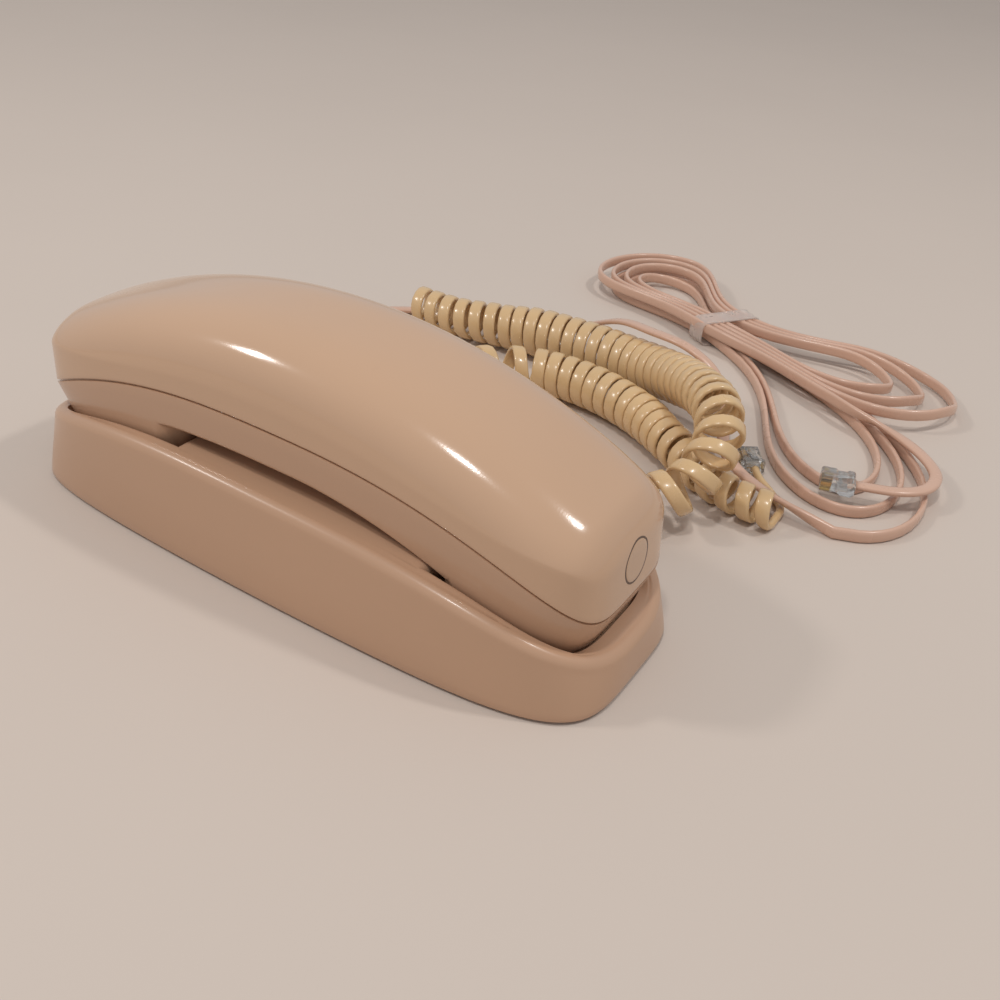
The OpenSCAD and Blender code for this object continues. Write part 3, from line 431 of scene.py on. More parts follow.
def hank_at(u):
    """Centre line of the tied loops, u loops from the start, as in the solid."""
    phi = math.radians(180 + 360 * u)
    c, sn = math.cos(phi), math.sin(phi)
    long = c > 0                     # on the long side of the tie
    d = u if u < 3 else 6 - u        # loops from the outermost one
    k = smooth((u - 2.85) / 0.3)     # 0 in the three lower loops, 1 in the three upper ones
    pitch = 3.5
    waist = pitch * (3 - d) + pitch * 0.6
    length = mixed((179, 119), k) - d * mixed((16, 14), k) if long else 86 - d * 7
    half = mixed((43, 40), k) - d * 8 if long else 36 - d * 6
    s = abs(c) * length
    p6 = abs(sn) ** 6
    # way across: the waist at the tie, the belly of the loop away from it
    w = sn * (waist * p6 + half * 1.55 * (1 - p6) * (0.35 + 0.65 * abs(c)))
    start, turn, full = mixed((-28, -14), k), mixed((-50, 16), k), mixed((179, 119), k)
    if long:
        spine = np.zeros(2)
        parts = 12
        for i in range(1, parts + 1):
            spine = spine + s / parts * heading(start + turn * s * (i - 0.5) / parts / full)
        across = heading(start + turn * s / full + 90)
        lean = smooth((s - 55) / 45) * smooth((w + 12) / 24)
    else:
        spine = s * heading(HANK_AXIS)
        across = heading(HANK_AXIS - 90)
        lean = 0.0
    lift = 0.9 * math.exp(-(s / 12) ** 2)
    xy = HANK_AT + spine + w * across
    return np.array([xy[0], xy[1], 2.5 + lift + 5.5 * k * (1 - 0.9 * lean)])


def flat_dir(v):
    """Level direction of a vector."""
    return unit([v[0], v[1], 0])


hank_count = round((HANK_TO - HANK_FROM) * HANK_STEPS)
hank_mid = [hank_at(HANK_FROM + (HANK_TO - HANK_FROM) * i / hank_count) for i in range(hank_count + 1)]
hank_dir0 = flat_dir(hank_mid[1] - hank_mid[0])
hank_dir1 = flat_dir(hank_mid[-1] - hank_mid[-2])
hank_start = hank_mid[0] - hank_dir0 * HANK_OUT
hank_stop = hank_mid[-1] + hank_dir1 * HANK_OUT
line_route = [(PLUG_X, LINE_Y, JACK_Z), (PLUG_X - 4, LINE_Y + 0.4, 5.4), (PLUG_X - 9, -9, 3.8),
              (PLUG_X - 13, -3, 2.4), (PLUG_X - 17, 8, 1.8), (PLUG_X - 21, 28, 1.8), (-133.5, 56, 1.8),
              (-132, 90, 1.8), (-127, 118, 1.8), (-115, 142, 1.8), (-98, 161, 1.8), (-82, 171.5, 1.8),
              (-62, 176, 1.8), (-46, 182, 1.8), (-22, 186, 5), (-4, 183, 15), (14, 174, 24.5),
              (32, 165, 28.3), (50, 160, 28.8), (64, 158, 22.5), (74, 149, 12), (82, 131, 7.5),
              (94, 118, 6.8), (110, 111, 6)]
line_lead = through_points(line_route + [hank_start], 8)
line_free = (132.4, 134, 8.3)
line_tail_route = [(113, 192.5, 8.2), (130, 186, 8), (146, 175, 7.6), (155, 162, 7.8), (155, 149, 8.2),
                   (147, 139.6, 8.4), line_free]
line_tail = through_points([hank_stop] + line_tail_route, 8)
line_path = line_lead + hank_mid + line_tail
line_sides = []
hank_first, hank_after = len(line_lead), len(line_lead) + len(hank_mid)
run = np.concatenate([[0], np.cumsum(np.linalg.norm(np.diff(np.array(line_path), axis=0), axis=1))])
ROLL_OVER = 45                       # mm in which the cord turns on edge
for i in range(len(line_path)):
    level = level_side(line_path, i)
    t = unit(line_path[min(i + 1, len(line_path) - 1)] - line_path[max(i - 1, 0)])
    vert = np.cross(level, t)
    # the flat cord lies on its side in the leads and stands on edge in the hank
    roll = (smooth((run[i] - run[hank_first] + ROLL_OVER) / ROLL_OVER)
            * smooth((run[hank_after] + ROLL_OVER - run[i]) / ROLL_OVER))
    a = roll * math.pi / 2
    line_sides.append(level * math.cos(a) + vert * math.sin(a))
line_sections = [flat_section(LINE_W, LINE_H, 12, 3.0)] * len(line_path)
line = sweep("flat_line_cord", line_path, line_sides, line_sections, pink_mat)


# ---------------------------------------------------------------- plugs on the cords

def place(verts, at, direction):
    """Turns points about the vertical to a direction and moves them to a place."""
    a = math.atan2(direction[1], direction[0])
    c, s = math.cos(a), math.sin(a)
    return [(at[0] + x * c - y * s, at[1] + x * s + y * c, at[2] + z) for x, y, z in verts]


def plug_pieces(name, node, at, direction, w, ways):
    """A clear modular plug: body with a stepped underside, latch, contact blades and strain-relief bar."""
    h, l = 6.0, 12.5
    side = [(0, -h / 2 + 1.2), (1.2, -h / 2), (4.8, -h / 2), (6.2, -h / 2 + 1), (l, -h / 2 + 1),
            (l, h / 2 - 0.6), (l - 0.6, h / 2), (7.4, h / 2), (6.6, h / 2 - 0.7), (3.4, h / 2 - 0.7),
            (2.6, h / 2), (0.8, h / 2), (0, h / 2 - 0.8)]
    n = len(side)
    verts = [(x, y, z) for y in (-w / 2, w / 2) for x, z in side]
    faces = [tuple(range(n)), tuple(reversed(range(n, 2 * n)))]
    faces += [(i, i + n, (i + 1) % n + n, (i + 1) % n) for i in range(n)]
    body = mesh_object(name, place(verts, at, direction), faces, clear_mat, smooth=False)
    rounded(body, 0.3)
    rows = []
    for k in range(7):
        x = l - 1 - k * 1.75
        z = h / 2 - 0.5 + (k / 6) ** 1.3
        hw = 1.6 if k < 4 else 1.25
        rows.append([(x, -hw, z - 0.4), (x, hw, z - 0.4), (x, hw, z + 0.35), (x, -hw, z + 0.35)])
    v, f = loft(rows)
    f += [(0, 1, 2, 3), (27, 26, 25, 24)]
    tab = mesh_object(name + "_latch", place(v, at, direction), f, clear_mat, smooth=False)
    rounded(tab, 0.15)
    cv, cf = [], []
    pitch, thick = 1.02, 0.34
    for k in range(ways):
        y = (k - (ways - 1) / 2) * pitch
        v, f = box_mesh(l - 4.2, l - 0.7, y - thick / 2, y + thick / 2, -h / 2 + 0.9, h / 2 - 2.6, len(cv))
        cv += v
        cf += f
    blades = mesh_object(name + "_contacts", place(cv, at, direction), cf, gold_mat, smooth=False)
    v, f = box_mesh(2.7, 6.3, -w / 2 + 1.3, w / 2 - 1.3, -h / 2 + 1.6, -h / 2 + 2.8)
    bar = mesh_object(name + "_bar", place(v, at, direction), f, clear_mat, smooth=False)
    for o in (body, tab, blades, bar):
        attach(o, "base")
    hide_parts(node)
    return [body, tab, blades, bar]


curly_plugs = plug_pieces("curly_plug_in", "curly_plug_base", (PLUG_X, CORD_Y, JACK_Z), (1, 0), 7.6, 4)
curly_plugs += plug_pieces("curly_plug_loose", "curly_plug_free", (96, 130, 3.2), (-6, 8), 7.6, 4)
line_plugs = plug_pieces("line_plug_in", "line_plug_base", (PLUG_X, LINE_Y, JACK_Z), (1, 0), 9.6, 4)
line_plugs += plug_pieces("line_plug_loose", "line_plug_free", line_free, (-10, -3), 9.6, 4)


def hank_tie():
    """A thin film band wrapped round the waist of the hank."""
    y0, y1, z0, z1, r = -14.4 - 2.8, 14.4, 0.55, 11.6, 3.4
    film = 0.5
    lap = []
    for cy, cz, a0 in ((y1 - r, z1 - r, 0), (y0 + r, z1 - r, 90),
                       (y0 + r, z0 + r - 0.3, 180), (y1 - r, z0 + r - 0.3, 270)):
        for k in range(7):
            a = math.radians(a0 + 15 * k)
            lap.append((cy + r * math.cos(a), cz + r * math.sin(a), math.cos(a), math.sin(a)))
    # wrinkles: how far the film stands out at each x
    rows = [[(x + 0.5 * math.sin(y * 0.5), y + g * c, max(0.05, z + g * s)) for y, z, c, s in lap]
            for x, g in ((-5, 0), (-4.6, .25), (-2.5, .12), (0, .3), (2.2, .1), (4.6, .28), (5, 0))]
    inner = [[(x, y - film * c, max(0.35, z - film * s)) for (x, _, _), (y, z, c, s) in zip(row, lap)]
             for row in rows]
    v, f = loft(rows + inner[::-1] + [rows[0]])
    a = math.radians(HANK_AXIS)
    v = place(v, (*HANK_AT, 0), (math.cos(a), math.sin(a)))
    tie = mesh_object("hank_tie_band", v, f, tie_mat)
    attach(tie, "base")
    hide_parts("hank_tie")
    return tie


tie = hank_tie()

for cord, names, slot in ((curly, ("curly_lead", "curly_cord", "curly_tail"), "cream_cord"),
                          (line, ("line_lead", "line_hank", "line_tail"), "pink_cord")):
    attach(cord, "base")
    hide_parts(*names)
print("cord lengths, mm:", round(length_of(curly_path), 1), round(length_of(line_path), 1))


# ---------------------------------------------------------------- shells of the mouldings

def quarter_points(a, b, m, n, bow, q):
    """Points from (a, 0) to (0, b) on |x/a|^m + |y/b|^n = 1, bowed in towards the end, close at the corner."""
    uc, vc = 0.5 ** (1 / m), 0.5 ** (1 / n)      # the corner, where both terms are one half
    half = 400
    dense = []
    for k in range(2 * half + 1):
        s = k / (2 * half)
        if s < 0.5:
            v = vc * s * 2
            u = (1 - v ** n) ** (1 / m)
        else:
            u = uc * (2 - 2 * s)
            v = (1 - u ** m) ** (1 / n)
        dense.append((a * u, b * v * (1 - bow * u * u)))
    xy = np.array(dense)
    way = np.concatenate([[0], np.cumsum(np.linalg.norm(np.diff(xy, axis=0), axis=1))])
    corner = way[half] / way[-1]
    even = np.linspace(0, 1, 2001)
    density = 1 / (0.12 + np.abs(even - corner))
    share = np.concatenate([[0], np.cumsum((density[1:] + density[:-1]) / 2)])
    at = np.interp(np.linspace(0, 1, q + 1) * share[-1], share, even) * way[-1]
    return np.column_stack([np.interp(at, way, xy[:, 0]), np.interp(at, way, xy[:, 1])])


COLS = 320                           # points round each outline


def outline_points(near, far, b, bow, tilt=0.0):
    """Closed anticlockwise outline from (a, 0). near and far hold (a, m, n) of the two halves."""
    q = COLS // 4
    p = quarter_points(near[0], b, near[1], near[2], bow, q)
    f = quarter_points(far[0], b, far[1], far[2], bow, q)
    pts = [(x, y) for x, y in p[:q]] + [(-x, y) for x, y in f[:0:-1]]
    pts += [(-x, -y) for x, y in f[:q]] + [(x, -y) for x, y in p[:0:-1]]
    return np.array([(x, y * (1 + tilt * x / near[0])) for x, y in pts])


def inward(pts):
    """Unit inward normals of a closed anticlockwise outline."""
    d = np.roll(pts, -1, axis=0) - np.roll(pts, 1, axis=0)
    nrm = np.column_stack([-d[:, 1], d[:, 0]])
    return nrm / np.maximum(np.linalg.norm(nrm, axis=1), 1e-9)[:, None]


def fall(x, drop, power, tilt):
    """How far an arched line has come down at x."""
    return drop * np.abs(x / 108.0) ** power + tilt * x / 108.0


def rim_z(x):
    """Height of the base's rim."""
    return 37.3 - fall(x, 16.8, 3.2, 3.6)


def part_z(x):
    """Height of the parting line between the handset's halves."""
    return 55 - fall(x, 25.8, 2.55, 2.5)


def strips(start):
    """Faces across a closed ring of mirrored points, from its first index."""
    faces = []
    for i in range(COLS // 2):
        quad = []
        for q in (start + i, start + i + 1, start + (COLS - i - 1) % COLS, start + (COLS - i) % COLS):
            if q not in quad:
                quad.append(q)
        if len(quad) > 2:
            faces.append(tuple(quad))
    return faces


def cut(obj, cutter, use_self=False):
    """Cuts a helper object, which is removed, out of obj."""
    b = obj.modifiers.new("cut", "BOOLEAN")
    b.operation = "DIFFERENCE"
    b.solver = "EXACT"
    b.use_self = use_self
    b.object = cutter
    apply_modifiers(obj)
    bpy.data.objects.remove(cutter)


def boxes_and_rods(name, boxes, rods, count=40):
    """One helper mesh of separate boxes (x0, x1, y0, y1, z0, z1) and upright rods (x, y, z0, z1, r)."""
    verts, faces = [], []
    for b in boxes:
        v, f = box_mesh(*b, len(verts))
        verts += v
        faces += f
    for x, y, z0, z1, r in rods:
        low = len(verts)
        top = low + count
        turns = [2 * math.pi * k / count for k in range(count)]
        verts += [(x + r * math.cos(a), y + r * math.sin(a), z) for z in (z0, z1) for a in turns]
        for k in range(count):
            j = (k + 1) % count
            faces.append((low + k, low + j, top + j, top + k))
        faces += [tuple(low + k for k in reversed(range(count))), tuple(top + k for k in range(count))]
    return mesh_object(name, verts, faces, smooth=False)


CUP, FAR_CUP, NEAR_CUP = 13.7, -37.0, 57.2       # the cups' floor, and where the bridge between them ends


def base_shell():
    """The base's outer wall, rim and cups as one skin, thickened inwards, with its openings."""
    bottom = outline_points((110.2, 6.2, 4.7), (108.6, 6.15, 9.0), 39.5, 0.095, 0.05)
    top = outline_points((109.7, 6.2, 2.85), (109.4, 6.2, 2.9), 38.9, 0.05, 0.02)
    pocket = outline_points((104.6, 6.2, 3.5), (104.6, 6.2, 3.5), 31.75, 0.03)
    foot = outline_points((101.0, 6.4, 4.0), (97.6, 6.4, 4.2), 31.6, 0.03)
    lip = outline_points((101.8, 6.4, 4.1), (97.6, 6.4, 4.2), 31.7, 0.03)
    wall_low, foot_z, lip_z = 1.6, CUP + 0.7, 16.9
    rim_r, pocket_r, floor_r = 3.2, 1.2, 1.6
    nb, nt, npk, nf = inward(bottom), inward(top), inward(pocket), inward(foot)
    ends = np.clip(np.abs(nt[:, 0]), 0, 1) ** 1.3      # 1 on the end walls, 0 along the sides
    zt = rim_z(top[:, 0])
    zp = rim_z(pocket[:, 0])
    rows = [ring(bottom + nb * d, z) for d, z in ((2.6, 4.0), (2.6, 1.0), (0.6, 1.0), (0.17, 1.12), (0, wall_low))]
    for k in range(1, 9):
        t = k / 9
        rows.append(ring(bottom + (top - bottom) * t ** 1.15, wall_low + (zt - rim_r - wall_low) * t))

    # the inner side: a flat land and a steep wall along the sides, one soft slope at the ends
    end0 = top + nt * rim_r
    drop = (zt - rim_r) - (CUP + floor_r)
    reach = np.maximum(np.linalg.norm(foot - end0, axis=1), 1.0)
    theta = np.arctan2(np.maximum(drop, 0.3), reach - 1.0) * 0.9
    inner = pocket - npk * pocket_r

    def mixed_row(side_xy, side_z, end_xy, end_z):
        w = ends[:, None]
        rows.append(ring(side_xy * (1 - w) + end_xy * w, side_z * (1 - ends) + end_z * ends))

    for k in range(9):
        a = math.radians(90 * k / 8)
        ae = a + theta * (k / 8)
        mixed_row(top + nt * (rim_r * (1 - math.cos(a))), zt - rim_r * (1 - math.sin(a)),
                  top + nt * (rim_r * (1 - np.cos(ae)))[:, None], zt - rim_r * (1 - np.sin(ae)))
    start_xy = top + nt * (rim_r * (1 - np.cos(math.pi / 2 + theta)))[:, None]
    start_z = zt - rim_r * (1 - np.sin(math.pi / 2 + theta))
    side = [(end0 * 0.93 + inner * 0.07, zt), (end0 * 0.5 + inner * 0.5, (zp + zt) / 2), (inner - npk * 0.3, zp)]
    for k in range(6):
        a = math.radians(90 * k / 5)
        side.append((inner + npk * (pocket_r * math.sin(a)), zp - pocket_r * (1 - math.cos(a))))
    wall_z = zp - pocket_r
    for k in range(1, 8):
        t = k / 7
        side.append((pocket + (foot - pocket) * t, wall_z + (CUP + floor_r - wall_z) * t))
    # the near end's slope stays shallow up to a lip close to the handset, and drops steeply from there
    near = (np.arange(COLS) < COLS // 4) | (np.arange(COLS) > COLS - COLS // 4)
    n, brink = len(side), 11
    for k, (xy, z) in enumerate(side, 1):
        t = k / n
        end_xy = start_xy + (foot - start_xy) * (t * (1 - 0.25 * (1 - t)))
        end_z = start_z + (foot_z - start_z) * (t + 0.25 * t * (1 - t))
        if k <= brink:
            t = k / brink
            near_xy = start_xy + (lip - start_xy) * t
            near_z = start_z + (lip_z - start_z) * (t + 0.35 * t * (1 - t))
        else:
            t = (k - brink) / (n - brink)
            near_xy = lip + (foot - lip) * t ** 1.6
            near_z = lip_z + (foot_z - lip_z) * t
        mixed_row(xy, z, np.where(near[:, None], near_xy, end_xy), np.where(near, near_z, end_z))
    for k in range(1, 6):
        a = math.radians(90 * k / 5)
        mixed_row(foot + nf * (floor_r * (1 - math.cos(a))), CUP + floor_r * (1 - math.sin(a)),
                  foot + nf * (floor_r * k / 5), CUP + 0.7 * (1 - k / 5) ** 2)
    rows.append(ring(foot + nf * 4.0, CUP))
    verts, faces = loft(rows)
    faces += strips((len(rows) - 1) * COLS)
    obj = mesh_object("base_shell", verts, faces, beige_base)
    s = obj.modifiers.new("thick", "SOLIDIFY")
    s.thickness = 2.0 * MM
    s.offset = -1
    s.use_even_offset = False
    apply_modifiers(obj)
    jacks = [(-118, -100, y - half, y + half, 2.2, 10.0) for y, half in ((LINE_Y, 5.3), (CORD_Y, 4.3))]
    slider, plunger = (11, 25, 30, 45, 12.5, 15.5), (89, 0, 8, 20, 3.1)
    cut(obj, boxes_and_rods("openings", jacks + [slider], [plunger]), use_self=True)
    sharp_by_angle(obj, 50)
    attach(obj, "base")
    return obj


def saddle_block():
    """The bridge between the two cups, with rounded ends."""
    low, half_w = 12.0, 33.4
    # from an end inwards: how far in, and how far under the rim; None is the bridge's underside
    end = ((0, None), (0, 3.2), (0.25, 1.9), (0.9, 0.75), (2.0, 0.15), (3.2, 0))
    line_up = [(FAR_CUP + e, d) for e, d in end] + [(x, 0) for x in np.linspace(-30, 51, 40)]
    line_up += [(NEAR_CUP - e, d) for e, d in reversed(end)]
    rows = []
    for x, d in line_up:
        z = float(rim_z(np.array(x))) + 0.03
        y = half_w * (1 - 0.03 * (x / 107) ** 2)
        rows.append([(x, s * y, low if d is None else max(low, z - d)) for s in np.linspace(-1, 1, 13)])
    verts, faces = loft(rows, closed=False)
    obj = mesh_object("base_saddle", verts, faces, beige_base)
    sharp_by_angle(obj, 50)
    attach(obj, "base")


HS_A, HS_B, FOOT = 105.5, 31.0, 14.0             # the handset's half length, half width and foot height
FRONT_T = 12.2                                   # from the parting line down to the arch's underside
CROWN_B, CROWN_H = 31.3, 26.0                    # the crown's half width and how deep it curves across
TOP_X, TOP_MID, TOP_R = -5.0, 81.0, 216.0        # the top's arc along x: centre, height, radius


def cover_z(x, y):
    """Height of the cover's crowned top."""
    v = np.clip(np.abs(y) / CROWN_B, 0, 0.99999)
    rho = TOP_R - CROWN_H + CROWN_H * (1 - v ** 3) ** (1 / 3)
    return (TOP_MID - TOP_R) + np.sqrt(rho ** 2 - (x - TOP_X) ** 2)


def back_cover():
    """The handset's upper half, from the parting line over its crowned top."""
    def plan_at(d):
        half = (HS_A - d, 6.7 - 0.09 * d, 5.4 - 0.1 * d)
        return outline_points(half, half, HS_B - d, 0.02)

    plan = plan_at(0)
    nrm = inward(plan)
    w = np.clip(np.abs(nrm[:, 0]), 0, 1) ** 1.6      # 1 on the end faces, 0 along the sides
    sgn = np.sign(plan[:, 0])
    shoulder = 8.0
    tilt = math.tan(math.radians(4.0))
    zp = part_z(plan[:, 0])

    def lean(xy, z):
        out = xy.copy()
        out[:, 0] -= sgn * w * tilt * np.maximum(0, z - zp)
        return out

    top_wall = np.maximum(cover_z(plan[:, 0], plan[:, 1]) - shoulder * w, zp + 1.3)
    foot_up = 0.85                   # from the parting line to the foot of the wall
    rows = [ring(plan + nrm * d, zp + up) for d, up in ((2.2, 0.4), (0.35, 0.4), (0.10, 0.52), (0, foot_up))]
    for k in range(1, 8):
        z = zp + foot_up + (top_wall - zp - foot_up) * k / 8
        rows.append(ring(lean(plan, z), z))
    base_xy = lean(plan, top_wall)
    for d in (0.0, 0.15, 0.4, 0.8, 1.3, 2.0, 2.8, 3.8, 5.0, 6.4, 8.0, 10, 12, 14.5, 17,
              19.5, 22, 24.5, 27, 29.2, 30.9):
        # near the edge follow the wall's own normals, deeper in follow the shrunk outlines
        f = smooth(d / 14)
        xy = (base_xy + nrm * d) * (1 - f) + plan_at(d) * f
        q = np.clip(d / shoulder, 0, 1)
        drop = shoulder * (1 - math.sqrt(max(0.0, 1 - (1 - q) ** 2)))
        z = cover_z(xy[:, 0], xy[:, 1]) - drop * w
        rows.append(ring(xy, np.maximum(z, top_wall) if d == 0 else z))
    verts, faces = loft(rows)
    faces += strips((len(rows) - 1) * COLS)
    obj = mesh_object("handset_cover_shell", verts, faces, beige)
    sharp_by_angle(obj, 60)
    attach(obj, "handset")
    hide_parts("handset_back_cover")
    return obj


# The handset's lower half: its outline shrinks at the ends and rounds off on the way down to the foot
LEVELS = 8
HS_LINES = np.array([outline_points(
    (HS_A - 5.5 * t, 6.7 - 0.5 * t, 5.4 - 2.0 * t), (HS_A - 12 * t, 6.7 - 0.5 * t, 5.4 - 1.8 * t),
    HS_B - 0.3 * t, 0.02) for t in (k / LEVELS for k in range(LEVELS + 1))])
HS_PART = part_z(HS_LINES[0][:, 0])
HS_DROP = HS_PART - FOOT
# Inner walls of the near and far blocks at their foot and under the arch, and the radius of their corners
NEAR_IN, NEAR_TOP, FAR_IN, FAR_TOP, CORNER = 62.0, 58.0, -44.0, -38.0, 9.0


def hs_at(t):
    """Outline of the lower half, each column at its own share t of the way down."""
    f = np.clip(t, 0, 1) * LEVELS
    k = np.minimum(f.astype(int), LEVELS - 1)
    cols = np.arange(COLS)
    g = (f - k)[:, None]
    return HS_LINES[k, cols] * (1 - g) + HS_LINES[k + 1, cols] * g


def lower_solid(inset):
    """The lower half as a full body down to its foot; with an inset, the room inside its walls."""
    rows = []

    def row(t, ins, z):
        xy = hs_at(t)
        rows.append(ring(xy + inward(xy) * (ins + inset), z))

    none = np.zeros(COLS)
    seam, foot_r = 0.75, 1.6
    if inset:
        row(none, 0, HS_PART + 2)
        row(none, 0, HS_PART - 1)
    else:
        for ins, up in ((1.0, 0.7), (1.0, -0.2), (0.35, -0.24), (0.08, -0.36)):
            row(none, ins, HS_PART + up)
        row(seam / HS_DROP, 0, HS_PART - seam)
    t0, t1 = seam / HS_DROP, (HS_DROP - inset - foot_r) / HS_DROP
    for k in range(1, 13):
        t = t0 + (t1 - t0) * k / 12
        row(t, 0, HS_PART - t * HS_DROP)
    for k in range(1, 6):
        a = math.radians(90 * k / 5)
        z = FOOT + inset + foot_r * (1 - math.sin(a))
        row((HS_PART - z) / HS_DROP, foot_r * (1 - math.cos(a)), z)
    verts, faces = loft(rows)
    faces += strips(0) + strips((len(rows) - 1) * COLS)
    return mesh_object("lower", verts, faces)


def arch_space(grow):
    """The space under the arch and between the blocks, its corners rounded; grown, for the room inside."""
    # ways in from the side wall: the first is well outside it, the last is the middle
    across = (-9.0, -0.3, 0.0, 0.03, 0.12, 0.3, 0.55, 0.85, 1.2, 1.65, 2.3, 3.2, 4.4, 5.8, 7.3, 9.0,
              12, 16, 21, 26, 31.0)
    edge_r = 0.0 if grow else 1.6
    soft = (1.5, 3.0)                # rounding between block and arch, far and near
    parts = 70
    turn = CORNER - grow
    rows = []
    for d in across:
        dd = min(max(0.0, CORNER - d), turn)
        flare = CORNER - math.sqrt(turn ** 2 - dd ** 2)
        foot_x, top_x = (FAR_IN - flare, NEAR_IN + flare), (FAR_TOP - flare, NEAR_TOP + flare)

        def roof(x):
            e = 0.05 + edge_r * smooth((x + 50) / 9) * smooth((70 - x) / 9)
            q = min(1.0, max(0.0, 1 - d / e))
            dip = 3.4 * min(1.2, max(0.0, (x - 12) / 45)) ** 1.5 * smooth((14 - d) / 9)
            return float(part_z(np.array(x))) - FRONT_T - dip + e * (1 - math.sqrt(1 - q * q)) + grow

        legs = []
        for s, side in ((0, 1), (1, -1)):
            low = roof(top_x[s] + side * soft[s]) - soft[s]
            leg = [(foot_x[s], 5.0), (foot_x[s], FOOT)]
            leg += [(foot_x[s] + (top_x[s] - foot_x[s]) * k / 5, FOOT + (low - FOOT) * k / 5)
                    for k in range(1, 6)]
            leg += [(top_x[s] + side * soft[s] * (1 - math.cos(a)), low + soft[s] * math.sin(a))
                    for a in (math.radians(15 * k) for k in range(1, 6))]
            legs.append(leg)
        x0, x1 = top_x[0] + soft[0], top_x[1] - soft[1]
        span = [(x, roof(x)) for x in (x0 + (x1 - x0) * k / parts for k in range(parts + 1))]
        pts = []
        for x, z in legs[0] + span + legs[1][::-1]:
            wall = (HS_B - 0.1) * (1 - 0.02 * (x / HS_A) ** 2) * (1 - abs(x / HS_A) ** 6.7) ** (1 / 5.3)
            y = 40.0 if d == across[0] else 0.0 if d == across[-1] else wall - d
            pts.append((x, y, z))
        rows.append(pts)
    rows = rows + [[(x, -y, z) for x, y, z in r] for r in rows[-2::-1]]
    verts, faces = loft(rows)
    n = len(rows[0])
    faces += [tuple(range(n)), tuple((len(rows) - 1) * n + k for k in reversed(range(n)))]
    return mesh_object("space", verts, faces)


KEY_X = [-19 + 13 * r for r in range(4)]
KEY_Y = [-15, 0, 15]
# Where the recall key, the number card, the screw by the keys and the holes of receiver and microphone are
RECALL_X, CARD_X, SCREW_X, RECEIVER_X, MIC_X = 33, -32.5, 46, 78, -66


def front_housing():
    """The handset's lower half, hollow, with its openings."""
    wall = 2.3
    room = lower_solid(wall)
    cut(room, arch_space(wall))
    obj = lower_solid(0)
    cut(obj, arch_space(0))
    cut(obj, room)

    def under(x):
        return float(part_z(np.array(float(x)))) - FRONT_T

    def opening(x, y, half_x, half_y, deep):
        return (x - half_x, x + half_x, y - half_y, y + half_y, low, under(x) + deep)

    low, hole_low, hole_top = 20, 10, 19         # under the arch; under and over the blocks' soles
    jack = (-112, -93, -4.3, 4.3, 18.6, 26.4)
    boxes = [opening(x, y, 4.85, 5.85, 7) for x in KEY_X for y in KEY_Y]
    boxes += [opening(RECALL_X, 0, 3.35, 7.35, 7), opening(CARD_X, 0, 3.95, 18.2, 1.6), jack]
    rods = [(SCREW_X, 0, low, under(SCREW_X) + 3, 2.9), (CARD_X, 0, low, under(CARD_X) + 9, 1.6)]
    ring_of_holes = [(5 * math.cos(math.radians(a)), 5 * math.sin(math.radians(a))) for a in range(0, 360, 60)]
    rods += [(RECEIVER_X + x, y, hole_low, hole_top, 1.2) for x, y in ring_of_holes + [(0, 0)]]
    rods += [(MIC_X, y, hole_low, hole_top, 1.0) for y in (-6, -3, 0, 3, 6)]
    cut(obj, boxes_and_rods("openings", boxes, rods, 32))
    obj.name = obj.data.name = "handset_front_shell"
    obj.data.materials.clear()
    # painted shade: the lower half takes the darker copy of the beige
    obj.data.materials.append(beige_painted_shade)
    sharp_by_angle(obj, 42)
    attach(obj, "handset")
    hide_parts("handset_front_housing")


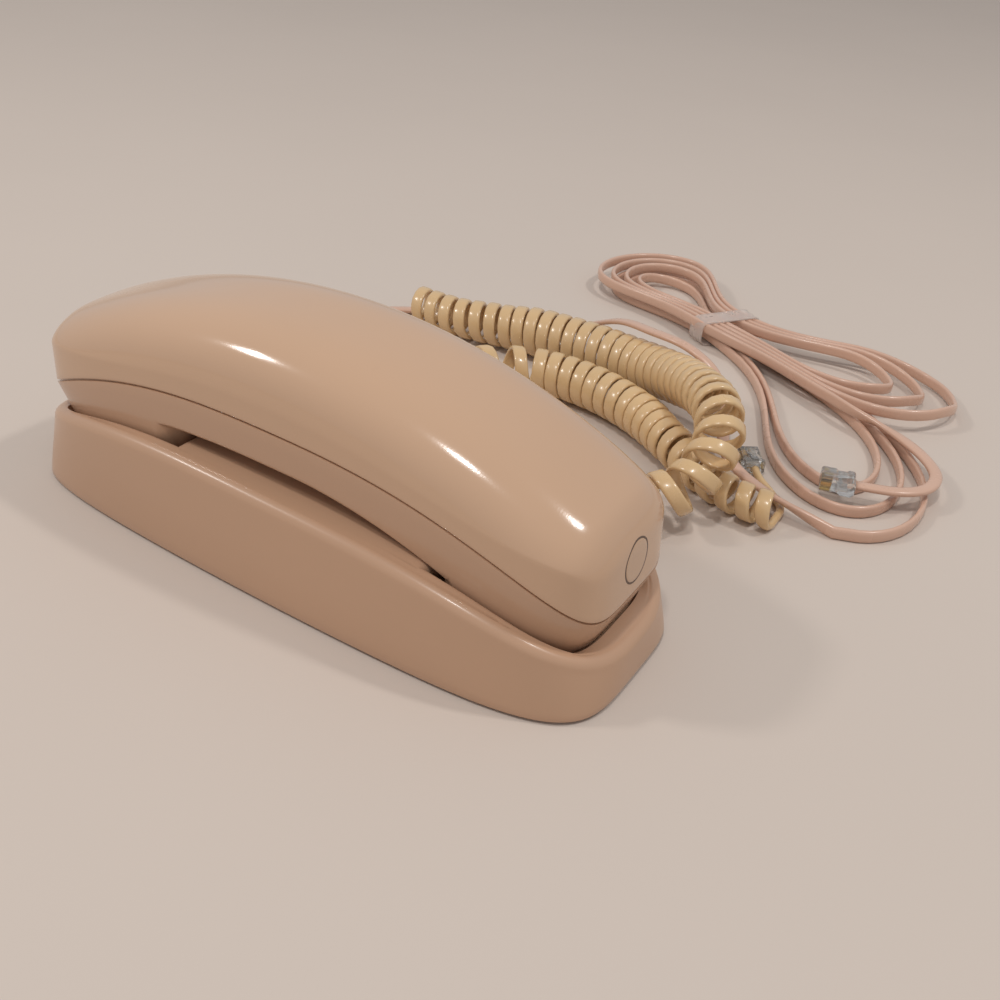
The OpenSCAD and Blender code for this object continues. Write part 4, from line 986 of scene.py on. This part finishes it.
def badge(cover_obj):
    """A plain flush disc in a fine dark groove, laid on the cover's end wall."""
    tree = BVHTree.FromObject(cover_obj, bpy.context.evaluated_depsgraph_get())
    mid_z, count = 39.4, 72
    face = ((0.0, 0.10), (2.0, 0.10), (4.0, 0.10), (5.6, 0.10), (6.25, 0.09), (6.35, 0.02))
    groove = ((6.30, -0.2), (6.34, 0.04), (6.5, 0.055), (6.78, 0.055), (6.95, 0.03), (7.0, -0.2))

    def on_wall(r, a, out):
        y, z = r * math.cos(a), mid_z + r * math.sin(a)
        hit = tree.ray_cast(Vector((0.2, y * MM, z * MM)), Vector((-1, 0, 0)))[0]
        return (hit.x / MM + out, y, z)

    for name, profile, mat in (("badge_face", face, badge_mat), ("badge_groove", groove, seam_mat)):
        rows = [[on_wall(r, 2 * math.pi * k / count, out) for k in range(count)] for r, out in profile]
        verts, faces = loft(rows)
        obj = mesh_object(name, verts, faces, mat)
        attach(obj, "handset")
        if name == "badge_face":
            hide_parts("badge_disc")


base_obj = base_shell()
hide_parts("base_housing")
saddle_block()
cover = back_cover()
front_housing()
badge(cover)

# ---------------------------------------------------------------- materials of the CAD nodes that stay

for name, obj in nodes.items():
    slot = next((s["material_slot"] for s in frame["record"]["subparts"] if s["node"] == name), None)
    mat = SLOT.get(slot, beige)
    if name.startswith("key_") or name == "recall_key":
        mat = key_mat
    if name == "badge_disc":
        mat = badge_mat
    obj.data.materials.clear()
    obj.data.materials.append(mat)

# ---------------------------------------------------------------- stage

floor_mat = shade("pale_cloth", lin(208, 195, 184), rough=0.85, spread=0.015, spread_scale=3.0, spec=0.2)
far, under = 2500, -0.02
v = [(-far, -far, under), (far, -far, under), (far, far, under), (-far, far, under)]
floor = mesh_object("floor", v, [(0, 1, 2, 3)], floor_mat, smooth=False)

world = bpy.data.worlds.new("studio")
bpy.context.scene.world = world
world.use_nodes = True
bg = world.node_tree.nodes["Background"]
bg.inputs[0].default_value = (0.93, 0.93, 0.95, 1)
bg.inputs[1].default_value = 0.50


def softbox(name, at, side, power, color):
    """A small square lamp aimed at the middle of the telephone."""
    aim = Vector((0, 0.05, 0))
    d = bpy.data.lights.new(name, "AREA")
    d.shape = "RECTANGLE"
    d.size = d.size_y = side
    d.energy = power
    d.color = color
    o = bpy.data.objects.new(name, d)
    bpy.context.scene.collection.objects.link(o)
    o.location = at
    o.rotation_euler = (aim - Vector(at)).to_track_quat("-Z", "Y").to_euler()


# Each lamp stands where its reflection falls on one of the photograph's highlights
softbox("key_light", (-0.95, -0.55, 1.05), 0.16, 4.0, (1.0, 0.97, 0.94))
softbox("front_light", (0.10, -0.50, 1.45), 0.12, 5.2, (1.0, 0.98, 0.96))
softbox("near_light", (0.70, 0.42, 1.33), 0.10, 4.2, (1.0, 0.98, 0.96))

bpy.context.scene.view_settings.view_transform = "Standard"
